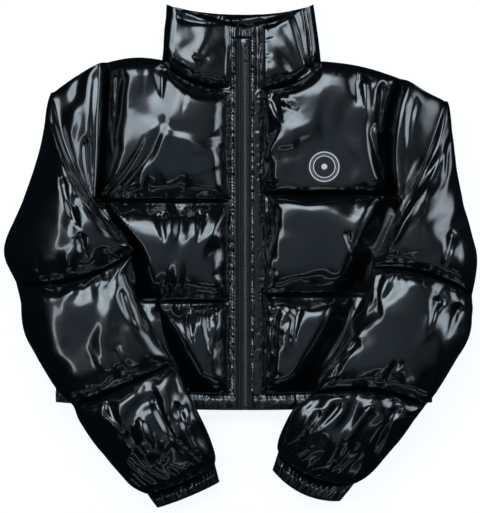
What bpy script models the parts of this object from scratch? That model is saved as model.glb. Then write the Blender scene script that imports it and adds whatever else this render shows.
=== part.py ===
"""A cropped puffer jacket lying on its back, zipped up, with both sleeves folded in over the front.

Tables and sizes are in millimetres: X to the garment's left, Y towards its collar, Z up from the table.
Each padded wall is a quilted outer surface over a plain inner one, and the walls lie on each other.
"""

import math

import bmesh
import bpy
import numpy as np

MM = 0.001
PLAN_CENTRE = (0.557, 0.853)  # the middle of the outline, taken off every X and Y

# Layers, from the table up
BACK_LOFT = 24.0  # the back wall where it rests flat
LAYER_GAP = 0.3
FRONT_INSIDE = BACK_LOFT + LAYER_GAP
SEAM_INSET = 0.2  # each piece stops this far short of its seam line
BACK_SIDE_INSET = 2.5
EDGE_THICK = 4.0  # a wall at its own edge
QUILT_THICK = 7.0  # a wall at a line of quilting
BACK_QUILT_THICK = 13.0
BACK_PUFF = 34.0  # what the back would rise to if the table did not press it flat
PRESSED_TOP = 41.0  # the front where a sleeve lies on it
SLEEVE_REST = 45.5  # the underside of a sleeve that lies on the front

# Zip and the edges that it joins
ZIP_X = 8.0
ZIP_GAP = 27.0
ZIP_TOP = 345.0
ZIP_BOTTOM = -231.0
TAPE_Z = 26.0
TAPE_THICK = 1.2
PIPING_WIDTH = 11.0  # from the front edge to its line of topstitching
PIPING_RISE = 4.0

# Gathers: each wave spans two columns of the grid
WAVE = math.pi
QUILT_WAVE = 1.6
GATHER_SHARE = 0.38
QUILT_WAVE_REACH = 18.0
PIPING_WAVE = 1.2

# The outline of the body, right (R, negative X) and left (L) as the wearer has them
BODY = {
    "R": {
        "side": -1,
        "neck_point": (-118.0, 297.0),
        "shoulder": (-197.0, 294.0),
        "armhole_end": (-214.0, 84.0),
        "armhole_bow": -3.0,
        "underarm": (-266.0, 42.0),
        "hem_corner": (-278.0, -219.0),
        "quilt_y": (85.0, -66.0),
    },
    "L": {
        "side": 1,
        "neck_point": (123.0, 295.0),
        "shoulder": (238.0, 270.0),
        "armhole_end": (236.0, 79.0),
        "armhole_bow": -19.0,
        "underarm": (283.0, 42.0),
        "hem_corner": (290.0, -219.0),
        "quilt_y": (96.0, -57.0),
    },
}
NECK_Y = 252.0  # the collar seam at the zip
BACK_NECK_Y = 291.0
NECK_POWER = 2.8
SHOULDER_RISE = 5.0
HEM_SEAM_Y = -207.0
BACK_LEVELS = (90.0, -62.0, HEM_SEAM_Y)
HEM_SAG = 12.0  # the hem hangs this much lower at the zip than at its corners

# Front chambers, from the shoulder to the hem: full thickness, and how far from a seam they reach it
FRONT_CHAMBERS = (
    # thickness, top rounding, bottom rounding
    (37.0, 40.0, 24.0),
    (36.0, 40.0, 30.0),
    (34.0, 40.0, 34.0),
)
SIDE_ROUNDING = 34.0
ZIP_ROUNDING = 40.0
CROWN = 0.10  # the share of the thickness that swells in the middle of a chamber

BADGE_X, BADGE_Y = 126.0, 135.0
BADGE_RADIUS = 27.0
BADGE_THICK = 1.8
BADGE_FLAT = 31.0  # the chest is flat this far out
BADGE_BLEND = 20.0

# Where the inner edge of each folded sleeve crosses the front: y, x
SHADE = {
    "R": (
        (84, -214), (15, -160), (-31, -168), (-52, -155), (-96, -134),
        (-135, -111), (-156, -101), (-190, -84), (-231, -62),
    ),
    "L": (
        (79, 236), (6, 203), (-48, 186), (-84, 170),
        (-118, 156), (-156, 129), (-204, 107), (-228, 78),
    ),
}
SHADE_LEAD = 27.0
SHADE_WIDTH = 22.0
SHADE_STARTS_AT = (96.0, 82.0)  # the top of a folded sleeve: the front is free above it

# Sleeves: the two edges of the flattened tube, from the armhole to the cuff
SLEEVES = {
    "R": (
        # name, outer edge x and y, inner edge x and y, bow between them, loft
        ("armhole", -198, 294, -215, 85.5, -3, 9),
        ("cap", -214, 289, -216.7, 87.2, 0, 20),
        ("cap_low", -246, 271, -222, 91, 14, 18),
        ("valley", -277, 249, -170, 28, 24, 17),
        ("crease", -286, 238, -160, 15, 25, 33),
        ("upper_1", -303, 158, -158, 12, 10, 36),
        ("upper_2", -326, 88, -157, 11, 6, 38),
        ("upper_3", -354, 14, -157, 10, 10, 36),
        ("seam_1", -337, -38, -159, 6, 16, 34),
        ("middle_1", -330, -66, -168, -22, 14, 36),
        ("middle_2", -324, -110, -155, -54, 8, 38),
        ("middle_3", -304, -151, -129, -104, 6, 38),
        ("middle_4", -272, -200, -106, -146, 4, 36),
        ("seam_2", -250, -222, -100, -158, 3, 34),
        ("lower_1", -238, -250, -83, -190, 2, 36),
        ("lower_2", -206, -296, -54, -250, 2, 36),
        ("lower_3", -168, -340, -38, -294, 4, 33),
        ("cuff_seam", -141, -357, -38, -313, 4, 26),
    ),
    "L": (
        ("armhole", 239, 270, 237, 81, -19, 9),
        ("cap", 256, 262, 238.7, 83, -12, 20),
        ("cap_low", 280, 248, 242, 87.5, 0, 18),
        ("valley", 307, 234, 212, 18, 8, 17),
        ("crease", 315, 225, 203, 4, 8, 33),
        ("upper_1", 323, 150, 200, 0, 6, 36),
        ("upper_2", 336, 80, 199, -4, 4, 38),
        ("upper_3", 355, 2, 198, -10, 0, 36),
        ("seam_1", 349, -58, 197, -16, -12, 34),
        ("middle_1", 348, -84, 190, -44, -4, 36),
        ("middle_2", 342, -122, 170, -84, 2, 38),
        ("middle_3", 320, -162, 148, -130, 0, 38),
        ("middle_4", 291, -205, 118, -176, -8, 36),
        ("seam_2", 277, -222, 108, -204, -14, 34),
        ("lower_1", 262, -242, 80, -226, -6, 36),
        ("lower_2", 236, -278, 62, -262, 0, 36),
        ("lower_3", 200, -320, 56, -284, 8, 33),
        ("cuff_seam", 174, -341, 58, -294, 14, 26),
    ),
}
QUILTED_AT = ("armhole", "seam_1", "seam_2", "cuff_seam")
CUFF_END = {"R": ((-125, -379, -31, -340), 2), "L": ((151, -369, 49, -322), 13)}
SLEEVE_UNDER = 22.0  # the lower wall and its filling
SLEEVE_SEAM_LOFT = 10.0
SLEEVE_SEAM_RISE = 6.0  # how far a seam lifts off what the sleeve rests on
SLEEVE_ROUNDING = 30.0
ARMHOLE_UNDERSIDE = 11.0
DRAPE_BELOW = 42.0  # a sleeve's underside reaches the table this far out from the body
DRAPE_ABOVE = 115.0
MIDDLE_SHARE = 0.42
CAP_CROWD = 2.9  # crowds the cap's points towards the visible end of the armhole
SLIT = 1.0
SLIT_SHARE = 0.86
SLIT_FROM = 5.5  # the station where the slit ends, short of the fold
SLEEVE_WAVES = 18
SLEEVE_WAVE = 1.6

# Collar: a padded band, open at the zip
COLLAR_TOP_BACK, COLLAR_TIP = 366.0, 381.0
COLLAR_RIGHT, COLLAR_LEFT = (-118.0, -111.0), (123.0, 111.0)  # the side folds, at the seam and at the tip
COLLAR_FRONT_POWER, COLLAR_BACK_POWER = 1.7, 2.4
COLLAR_LOFT = 27.0
COLLAR_SLIT = 0.6
COLLAR_INSET = 0.5
COLLAR_BACK_INSET = 2.0
COLLAR_WAVE = 1.4
COLLAR_FOLD = 16.0  # how far in from each side fold the band starts to turn
COLLAR_FOLD_INSIDE = 4.0

CUFF_GATHERS = 24
CUFF_WAVE = 1.6
HEM_GATHER = 13.0
HEM_LOFT = 9.0
HEM_WAVE = 1.6
HEM_BACK_LOFT, HEM_BACK_WAVE, HEM_BACK_GATHER = 16.0, 1.2, 26.0
CUFF_HEIGHT = 42.0

# Zip slider: a channel over the teeth with an arched bridge; the pull hooks under the bridge
SLIDER_Y = 322.0
SLIDER_HALF_LENGTH, SLIDER_HALF_WIDTH = 6.5, 6.3
SLIDER_ROUND = 0.8
CHANNEL_HALF_WIDTH = 5.0
SLIDER_FOOT = TAPE_Z + TAPE_THICK + 0.3
CHANNEL_TOP, PLATE_TOP = 30.6, 32.4
BRIDGE_HALF_WIDTH, BRIDGE_HALF_LENGTH, BRIDGE_INSIDE = 1.7, 5.0, 3.4
BRIDGE_UNDER, BRIDGE_TOP = 35.6, 37.2
BRIDGE_ROUND, BRIDGE_INSIDE_ROUND = 1.4, 0.6
PIVOT_Z = 34.0
PULL_THICK, PULL_HALF_WIDTH, PULL_LENGTH = 1.6, 3.9, 27.0
EYE_HALF_WIDTH, EYE_START, EYE_END = 2.4, 0.8, 6.8
PULL_TILT = 4.5

FABRIC = ("gloss_shell", (0.012, 0.014, 0.018, 1), 0.18, 0.0)
RIB = ("elastic_edge", (0.010, 0.011, 0.014, 1), 0.30, 0.0)
TAPE = ("zip_tape", (0.016, 0.017, 0.020, 1), 0.75, 0.0)
METAL = ("slider_black", (0.02, 0.02, 0.022, 1), 0.25, 0.9)
RUBBER = ("badge_rubber", (0.022, 0.024, 0.028, 1), 0.45, 0.0)


# ---------------------------------------------------------------- small maths


def smooth(t):
    t = np.clip(t, 0.0, 1.0)
    return t * t * (3 - 2 * t)


def dome(t):
    """A quarter circle: 0 at 0, 1 from 1 on."""
    t = np.clip(t, 0.0, 1.0)
    return np.sqrt(1 - (1 - t) ** 2)


def mix(a, b, t):
    return a + (b - a) * t


def spaced(count, crowd=0.55):
    """0 to 1 in count steps, closer together at both ends."""
    t = np.linspace(0, 1, count + 1)
    return mix(t, (1 - np.cos(math.pi * t)) / 2, crowd)


def curve_through(values, at):
    """A smooth curve through the rows of a table, read at row numbers (Catmull-Rom)."""
    values = np.asarray(values, float)
    last = len(values) - 1
    i = np.clip(np.floor(at).astype(int), 0, last - 1)
    t = (at - i)[:, None]
    p0, p1 = values[np.maximum(i - 1, 0)], values[i]
    p2, p3 = values[i + 1], values[np.minimum(i + 2, last)]
    return 0.5 * (
        2 * p1
        + (p2 - p0) * t
        + (2 * p0 - 5 * p1 + 4 * p2 - p3) * t**2
        + (3 * p1 - p0 - 3 * p2 + p3) * t**3
    )


# ---------------------------------------------------------------- body outline


def neckline(x, centre_y=NECK_Y):
    """The collar seam: low at the zip, curving up to each neck point."""
    x = np.asarray(x, float)
    right, left = BODY["R"]["neck_point"], BODY["L"]["neck_point"]
    reach = np.where(x < ZIP_X, ZIP_X - right[0], left[0] - ZIP_X)
    top = np.where(x < ZIP_X, right[1], left[1])
    return centre_y + (top - centre_y) * np.clip(abs(x - ZIP_X) / reach, 0, 1) ** NECK_POWER


def top_edge(x, centre_y=NECK_Y):
    """The whole upper edge of the body: the neckline between the neck points, the shoulders outside them."""
    y = neckline(x, centre_y)
    for half in BODY.values():
        (x0, y0), (x1, y1) = half["neck_point"], half["shoulder"]
        t = (x - x0) / (x1 - x0)
        y = np.where(t > 0, mix(y0, y1, t) + SHOULDER_RISE * np.sin(math.pi * np.clip(t, 0, 1)), y)
    return y


def armhole_x(half, t):
    """X of the armhole seam, t from the shoulder down to where the sleeve covers it."""
    bow = 4 * t * (1 - t) * half["side"] * half["armhole_bow"]
    return mix(half["shoulder"][0], half["armhole_end"][0], t) + bow


def outer_x(half, y):
    """X of the body's edge: down the armhole, out to the underarm, then down the side seam."""
    ys = (half["hem_corner"][1], half["underarm"][1], half["armhole_end"][1])
    xs = (half["hem_corner"][0], half["underarm"][0], half["armhole_end"][0])
    t = (half["shoulder"][1] - y) / (half["shoulder"][1] - half["armhole_end"][1])
    return np.where(t < 1, armhole_x(half, np.clip(t, 0, 1)), np.interp(y, ys, xs))


def hem_line(x, at_corner):
    half_width = 0.5 * (BODY["L"]["hem_corner"][0] - BODY["R"]["hem_corner"][0])
    return at_corner - HEM_SAG * np.clip(1 - ((x - ZIP_X) / half_width) ** 2, 0, 1)


def drape(x, y, reach):
    """1 over the body, falling to 0 at that reach outside its side seams and hem."""
    side = np.maximum(outer_x(BODY["R"], y) - x, x - outer_x(BODY["L"], y))
    below = hem_line(x, BODY["R"]["hem_corner"][1]) - y
    beyond = np.hypot(np.maximum(side, 0), np.maximum(below, 0))
    shoulder = np.where(side > 0, smooth((140 - y) / 50), 1.0)
    return smooth(1 - beyond / reach) * shoulder


def pressed_share(key, x, y):
    """1 where the folded sleeve covers the front, 0 where the front shows."""
    ys, xs = zip(*SHADE[key][::-1])
    inside = BODY[key]["side"] * (x - np.interp(y, ys, xs))
    top, full = SHADE_STARTS_AT
    return smooth((inside + SHADE_LEAD) / SHADE_WIDTH) * smooth((top - y) / (top - full))


# ---------------------------------------------------------------- padded walls of the body


def chamber_rows(*counts):
    """Row positions, each as (chamber, share of the way down it), with a row on every seam."""
    return [(0, 0.0)] + [(i, t) for i, count in enumerate(counts) for t in spaced(count)[1:]]


def body_plan(key, rows, columns, levels, centre_y, inner_x, side_inset):
    """X and Y of a grid that fills one half of the body between its upper edge and the hem seam."""
    half = BODY[key]
    x = np.zeros((len(rows), len(columns)))
    y = np.zeros_like(x)
    for r, (chamber, t) in enumerate(rows):
        high = levels[chamber - 1] if chamber else half["shoulder"][1]
        reach = outer_x(half, mix(high, levels[chamber], t)) - half["side"] * side_inset
        x[r] = mix(inner_x, reach, columns)
        start = high if chamber else top_edge(x[r], centre_y) - SEAM_INSET
        end = levels[chamber] if chamber < 2 else hem_line(x[r], HEM_SEAM_Y + HEM_SAG) + SEAM_INSET
        y[r] = mix(start, end, t)
    return x, y


def front_thickness(key, rows, levels, x, y):
    """How far the front's outer surface stands above its inner one."""
    half = BODY[key]
    chamber = np.array([c for c, _ in rows])[:, None]
    share = np.array([t for _, t in rows])[:, None]
    levels = np.array(levels)
    top = np.where(chamber == 0, top_edge(x), levels[np.maximum(chamber - 1, 0)])
    bottom = levels[chamber]
    full, above, below = np.moveaxis(np.array(FRONT_CHAMBERS)[chamber], -1, 0)
    full = full * (1 - CROWN + CROWN * np.sin(math.pi * share))
    from_top, from_bottom = np.abs(top - y), np.abs(y - bottom)
    from_zip = np.abs(x - ZIP_X) - ZIP_GAP / 2
    from_side = np.abs(outer_x(half, y) - x)

    across = np.arange(x.shape[1])[None, :]
    along = np.arange(x.shape[0])[:, None]
    inner = smooth(from_zip / 45) * smooth(from_side / 30)
    gather = 1 + GATHER_SHARE * inner * np.cos(WAVE * across)
    swell = dome(from_top / (above * gather)) * dome(from_bottom / (below * gather))
    pucker = 1 + GATHER_SHARE * np.cos(WAVE * along) * smooth(np.minimum(from_top, from_bottom) / 45)
    swell = swell * dome(from_side / (SIDE_ROUNDING * pucker))
    swell = swell * dome((from_zip - PIPING_WIDTH) / (ZIP_ROUNDING * pucker))
    base = mix(QUILT_THICK, EDGE_THICK, np.exp(-np.minimum(from_side, from_zip) / 6))
    thick = base + (full - QUILT_THICK) * swell
    piping = np.clip(from_zip / PIPING_WIDTH, 0, 1)
    thick += PIPING_RISE * np.sin(math.pi * piping)

    near_seam = np.exp(-np.minimum(from_top, from_bottom) / QUILT_WAVE_REACH)
    thick -= QUILT_WAVE * near_seam * inner * np.cos(WAVE * across)
    thick += PIPING_WAVE * np.exp(-from_zip / 14) * np.cos(WAVE * along)

    if key == "L":
        r = np.hypot(x - BADGE_X, y - BADGE_Y)
        thick = mix(thick, FRONT_CHAMBERS[0][0], smooth((BADGE_FLAT + BADGE_BLEND - r) / BADGE_BLEND))
    pressed = np.minimum(thick, PRESSED_TOP - FRONT_INSIDE)
    return np.maximum(mix(thick, pressed, pressed_share(key, x, y)), EDGE_THICK - 1)


def back_thickness(x, y, rows):
    """The back presses flat on the table and lifts off it at its edges and quilting."""
    chamber = np.array([c for c, _ in rows])[:, None]
    levels = np.array(BACK_LEVELS)
    top = np.where(chamber == 0, top_edge(x, BACK_NECK_Y), levels[np.maximum(chamber - 1, 0)])
    near = np.minimum(np.abs(top - y), np.abs(y - levels[chamber]))
    from_side = np.minimum(np.abs(outer_x(BODY["R"], y) - x), np.abs(outer_x(BODY["L"], y) - x))
    swell = dome(near / 34) * dome(from_side / SIDE_ROUNDING)
    seam = mix(BACK_QUILT_THICK, EDGE_THICK, np.exp(-from_side / 10))
    return np.minimum(seam + (BACK_PUFF - seam) * swell, BACK_LOFT)


def mesh_object(name, points, faces, finish, origin=PLAN_CENTRE):
    """An object from points in millimetres, its own origin at that place in the plan."""
    mesh = bpy.data.meshes.new(name)
    place = np.asarray(points, float).copy()
    place[:, :2] -= origin
    mesh.from_pydata((place * MM).tolist(), [], faces)
    mesh.update()
    obj = bpy.data.objects.new(name, mesh)
    bpy.context.collection.objects.link(obj)
    form = bmesh.new()
    form.from_mesh(mesh)
    bmesh.ops.remove_doubles(form, verts=form.verts, dist=1e-6)
    bmesh.ops.recalc_face_normals(form, faces=form.faces)
    form.to_mesh(mesh)
    form.free()
    mesh.shade_smooth()
    mesh.set_sharp_from_angle(angle=math.radians(50))
    obj.data.materials.append(material(*finish))
    return obj


def material(name, colour, roughness, metallic):
    found = bpy.data.materials.get(name)
    if found:
        return found
    made = bpy.data.materials.new(name)
    made.use_nodes = True
    shader = made.node_tree.nodes["Principled BSDF"]
    shader.inputs["Base Color"].default_value = colour
    shader.inputs["Roughness"].default_value = roughness
    shader.inputs["Metallic"].default_value = metallic
    made.diffuse_color = colour
    return made


def wall(name, x, y, thick, inside_z, outward, finish=FABRIC):
    """A padded wall: a quilted grid, a plain flat inner face, and a rim round the edge between them."""
    rows, columns = x.shape
    outer = np.dstack([x, y, inside_z + outward * thick]).reshape(-1, 3)
    index = np.arange(rows * columns).reshape(rows, columns)
    faces = [
        (index[r, c], index[r, c + 1], index[r + 1, c + 1], index[r + 1, c])
        for r in range(rows - 1)
        for c in range(columns - 1)
    ]
    border = [*index[0, :-1], *index[:-1, -1], *index[-1, :0:-1], *index[:0:-1, 0]]
    inner = outer[border].copy()
    inner[:, 2] = inside_z
    first = len(outer)
    count = len(border)
    for k in range(count):
        n = (k + 1) % count
        faces.append((border[k], border[n], first + n, first + k))
    faces.append(tuple(first + k for k in range(count)))
    return mesh_object(name, np.vstack([outer, inner]), faces, finish)


def front(key):
    half = BODY[key]
    rows = chamber_rows(16, 12, 12)
    levels = (*half["quilt_y"], HEM_SEAM_Y)
    inner_x = ZIP_X + half["side"] * ZIP_GAP / 2
    width = abs(half["underarm"][0] - inner_x)
    steps = np.array([0.0, 0.45 * PIPING_WIDTH, PIPING_WIDTH])
    rest = np.linspace(PIPING_WIDTH, width, 23)[1:]
    columns = np.concatenate([steps, rest]) / width
    x, y = body_plan(key, rows, columns, levels, NECK_Y, inner_x, SEAM_INSET)
    thick = front_thickness(key, rows, levels, x, y)
    return wall(f"front_{side_name(key)}", x, y, thick, FRONT_INSIDE, 1)


def side_name(key):
    return {"R": "right", "L": "left"}[key]


def back():
    rows = chamber_rows(8, 6, 6)
    columns = spaced(11, 0.35)
    right_x, right_y = body_plan("R", rows, columns, BACK_LEVELS, BACK_NECK_Y, ZIP_X, BACK_SIDE_INSET)
    left_x, left_y = body_plan("L", rows, columns, BACK_LEVELS, BACK_NECK_Y, ZIP_X, BACK_SIDE_INSET)
    x = np.hstack([right_x[:, :0:-1], left_x])
    y = np.hstack([right_y[:, :0:-1], left_y])
    return wall("back", x, y, back_thickness(x, y, rows), BACK_LOFT, -1)


def hem_band(name, x_from, x_to, inside_z, outward, loft, wave, gather):
    """The elastic hem: a narrow padded band whose outer face waves from gather to gather."""
    count = 2 * int(round(abs(x_to - x_from) / gather))
    across = np.linspace(0, 1, count + 1)[None, :]
    down = np.array([0.0, 0.16, 0.5, 0.84, 1.0])[:, None]
    x = mix(x_from, x_to, across) + 0 * down
    top = hem_line(x, HEM_SEAM_Y + HEM_SAG) - SEAM_INSET
    low = hem_line(x, BODY["R"]["hem_corner"][1])
    y = mix(top, low, down)
    arch = np.sin(math.pi * down) ** 0.6
    thick = EDGE_THICK + (loft - EDGE_THICK) * arch
    ripple = wave * np.cos(WAVE * np.arange(count + 1))[None, :] * mix(0.35, 1.0, arch)
    return wall(name, x, y, np.maximum(thick + ripple, 2.0), inside_z, outward, RIB)


# ---------------------------------------------------------------- sleeves and cuffs


def station(key, name):
    return [row[0] for row in SLEEVES[key]].index(name)


def sleeve_plan(key, s, t):
    """Plan points of the sleeve: s picks the station, t runs from the outer edge to the inner one."""
    table = np.array([row[1:] for row in SLEEVES[key]], float)
    outer, inner, bow = table[:, None, 0:2], table[:, None, 2:4], table[:, None, 4:5]
    crowd = np.where(np.arange(len(table)) <= station(key, "cap_low"), CAP_CROWD, 1.0)
    t = (1 - (1 - t[None, :]) ** crowd[:, None])[:, :, None]
    along = inner - outer
    down = -BODY[key]["side"] * along[..., ::-1] * (1, -1) / np.linalg.norm(along, axis=2, keepdims=True)
    points = outer + along * t + down * 4 * t * (1 - t) * bow
    return curve_through(points.reshape(len(table), -1), s).reshape(len(s), -1, 2)


def sleeve_heights(key, s, t, gather=0.0):
    """Underside, middle and top of the sleeve at those plan points.

    gather is the cosine of the gathers at each t: it moves the puffed surface nearer to the seams or away.
    """
    plan = sleeve_plan(key, s, t)
    x, y = plan[..., 0], plan[..., 1]
    loft = curve_through(np.array([row[-1:] for row in SLEEVES[key]], float), s)
    away = np.full(x.shape, 1e9)
    for name in QUILTED_AT:
        seam = sleeve_plan(key, np.full(len(s), float(station(key, name))), t)
        away = np.minimum(away, np.linalg.norm(plan - seam, axis=2))
    low = SLEEVE_REST * drape(x, y, DRAPE_BELOW) + SLEEVE_SEAM_RISE * (1 - dome(away / SLEEVE_ROUNDING))
    puff = dome(away / (SLEEVE_ROUNDING * (1 + GATHER_SHARE * gather)))
    at_armhole = np.clip(1 - s, 0, 1)[:, None]
    low = mix(low, ARMHOLE_UNDERSIDE, smooth(at_armhole))
    high = SLEEVE_REST * drape(x, y, DRAPE_ABOVE) + SLEEVE_UNDER
    high = high + SLEEVE_SEAM_LOFT + (loft - SLEEVE_SEAM_LOFT) * puff
    high = high - SLEEVE_WAVE * gather * np.exp(-away / 15)
    high = mix(high, FRONT_INSIDE + QUILT_THICK, smooth(at_armhole * 1.2 - 0.2))
    middle = mix(low, high, MIDDLE_SHARE)
    middle = mix(middle, FRONT_INSIDE, smooth(at_armhole))
    return plan, low, middle, high


def sleeve_skin(key, s, angle):
    """The outer surface of the sleeve: angle 0 is its outer edge, a quarter turn its top."""
    rise = np.abs(np.sin(angle))
    past_fold = smooth(s - station(key, "valley"))[:, None]
    gather = past_fold * np.cos(SLEEVE_WAVES * angle) * smooth(rise * 3)
    plan, low, middle, high = sleeve_heights(key, s, (1 - np.cos(angle)) / 2, gather)
    upper = mix(middle, high, rise**0.75)
    under = mix(middle, low, np.minimum(1.35 * rise**0.55, 1.0))
    return np.dstack([plan, np.maximum(np.where(np.sin(angle) >= 0, upper, under), 0.0)])


def slit_skin(key, s, angle):
    """The inside of the sleeve, pressed to a slit between its two walls."""
    plan, _, middle, _ = sleeve_heights(key, s, 0.5 - 0.5 * SLIT_SHARE * np.cos(angle))
    return np.dstack([plan, middle + np.sign(np.round(np.sin(angle), 6))[None, :] * SLIT / 2])


def tube(name, outside, inside, finish, through=True):
    """A solid between two flattened tubes of rings, joined by a ring of faces where they are open.

    The rings end at the open end; their first ones are closed over unless the tube goes right through.
    """
    points = np.vstack([outside.reshape(-1, 3), inside.reshape(-1, 3)])
    start = outside.shape[0] * outside.shape[1]
    faces = ring_faces(outside.shape[:2], 0) + ring_faces(inside.shape[:2], start)
    outer_rings = np.arange(start).reshape(outside.shape[:2])
    inner_rings = start + np.arange(inside.shape[0] * inside.shape[1]).reshape(inside.shape[:2])
    faces += faces_between(outer_rings[-1], inner_rings[-1])
    if through:
        faces += faces_between(outer_rings[0], inner_rings[0])
    else:
        faces += faces_over(outer_rings[0]) + faces_over(inner_rings[0])
    return mesh_object(name, points, faces, finish)


def faces_over(ring):
    """Closes a flattened ring with a strip from its upper half to its lower one."""
    half = len(ring) // 2
    faces = [(ring[0], ring[1], ring[-1]), (ring[half - 1], ring[half], ring[half + 1])]
    faces += [(ring[k], ring[k + 1], ring[-k - 1], ring[-k]) for k in range(1, half - 1)]
    return faces


def ring_faces(shape, start):
    rows, around = shape
    index = start + np.arange(rows * around).reshape(rows, around)
    return [
        (index[r, c], index[r, (c + 1) % around], index[r + 1, (c + 1) % around], index[r + 1, c])
        for r in range(rows - 1)
        for c in range(around)
    ]


def faces_between(outer_ring, inner_ring):
    """Faces between two closed loops, the outer with a whole number of points to each inner one."""
    ratio = len(outer_ring) // len(inner_ring)
    faces = []
    for k, here in enumerate(inner_ring):
        following = inner_ring[(k + 1) % len(inner_ring)]
        for j in range(ratio):
            a = outer_ring[k * ratio + j]
            b = outer_ring[(k * ratio + j + 1) % len(outer_ring)]
            if j == ratio // 2:
                faces.append((a, b, following, here))
            elif j < ratio // 2:
                faces.append((a, b, here))
            else:
                faces.append((a, b, following))
    return faces


def sleeve(key):
    last = len(SLEEVES[key]) - 1
    quilted = [station(key, name) for name in QUILTED_AT]
    s = [0.0, 0.5, 1.0, 2.0, 3.0, 3.5, 4.0, 4.4]
    for start, end, count in ((5, quilted[1], 5), (quilted[1], quilted[2], 8), (quilted[2], last, 7)):
        s += list(mix(start, end, spaced(count))[0 if start == 5 else 1:])
    s[-1] -= 0.012
    outside = sleeve_skin(key, np.array(s), np.arange(2 * SLEEVE_WAVES) * 2 * math.pi / (2 * SLEEVE_WAVES))
    deep = np.concatenate([np.linspace(SLIT_FROM, last - 1, 7), s[-1:]])
    inside = slit_skin(key, deep, np.arange(12) * 2 * math.pi / 12)
    return tube(f"sleeve_{side_name(key)}", outside, inside, FABRIC, through=False)


def cuff_skin(key, along, angle, share):
    """The elastic cuff: a short flattened tube, its surface waving from gather to gather."""
    seam = np.array(SLEEVES[key][-1][1:6], float)
    end, end_bow = CUFF_END[key]
    edges = mix(seam[:4], np.array(end, float), along[:, None])
    bows = mix(seam[4], end_bow, along)[:, None]
    t = 0.5 - 0.5 * share * np.cos(angle)[None, :] + 0 * along[:, None]
    plan = edges[:, None, 0:2] + (edges[:, None, 2:4] - edges[:, None, 0:2]) * t[:, :, None]
    chord = edges[:, 2:4] - edges[:, 0:2]
    down = -BODY[key]["side"] * np.stack([chord[:, 1], -chord[:, 0]], axis=1)
    down /= np.linalg.norm(down, axis=1)[:, None]
    return plan + down[:, None] * (4 * t * (1 - t) * bows)[:, :, None]


def cuff(key):
    around = 2 * CUFF_GATHERS
    angle = np.arange(around) * 2 * math.pi / around
    along = np.array([0.035, 0.14, 0.5, 0.86, 1.0])
    plan = cuff_skin(key, along, angle, 1.0)
    turn = np.sin(angle)[None, :]
    rise = np.abs(turn)
    arch = np.array([0.72, 0.9, 1.0, 0.95, 0.8])[:, None]
    top = 2 + (CUFF_HEIGHT - 2) * arch
    middle = 0.45 * top
    upper = mix(middle, top, rise**0.7) + CUFF_WAVE * np.cos(CUFF_GATHERS * angle) * arch * (turn > 0.05)
    under = middle * (1 - np.minimum(1.3 * rise**0.6, 1))
    outside = np.dstack([plan, np.maximum(np.where(turn >= -1e-9, upper, under), 0)])
    inner_angle = np.arange(12) * 2 * math.pi / 12
    inner_along = np.array([along[0], 0.5, along[-1]])
    inner_plan = cuff_skin(key, inner_along, inner_angle, SLIT_SHARE)
    inner_middle = np.interp(inner_along, along, middle[:, 0])[:, None]
    inner_z = inner_middle + np.sign(np.round(np.sin(inner_angle), 6))[None, :] * SLIT / 2
    inside = np.dstack([inner_plan, inner_z])
    return tube(f"cuff_{side_name(key)}", outside, inside, RIB)


# ---------------------------------------------------------------- collar


def collar_path(count_front, count_fold, count_back):
    """Where the band runs, as (layer, x share): from the right front edge round the back to the left one."""
    steps = [("front", -1, t) for t in np.linspace(0, 1, count_front + 1)[:-1]]
    steps += [("fold", -1, t) for t in np.linspace(0, 1, count_fold + 1)[:-1]]
    steps += [("back", 0, t) for t in np.linspace(0, 1, count_back + 1)[:-1]]
    steps += [("fold", 1, t) for t in np.linspace(0, 1, count_fold + 1)[:-1]]
    steps += [("front", 1, t) for t in np.linspace(0, 1, count_front + 1)]
    return steps


def collar_edges(layer, x):
    """The seam and the top edge of the collar at x, for its front or its back."""
    reach = ZIP_X - COLLAR_RIGHT[1] if x < ZIP_X else COLLAR_LEFT[1] - ZIP_X
    out = np.clip(abs(x - ZIP_X) / reach, 0, 1)
    if layer == "back":
        top = mix(COLLAR_TOP_BACK, COLLAR_TIP, out**COLLAR_BACK_POWER)
        return neckline(x, BACK_NECK_Y) + COLLAR_BACK_INSET, top
    return neckline(x) + COLLAR_INSET, mix(ZIP_TOP, COLLAR_TIP, out**COLLAR_FRONT_POWER)


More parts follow.
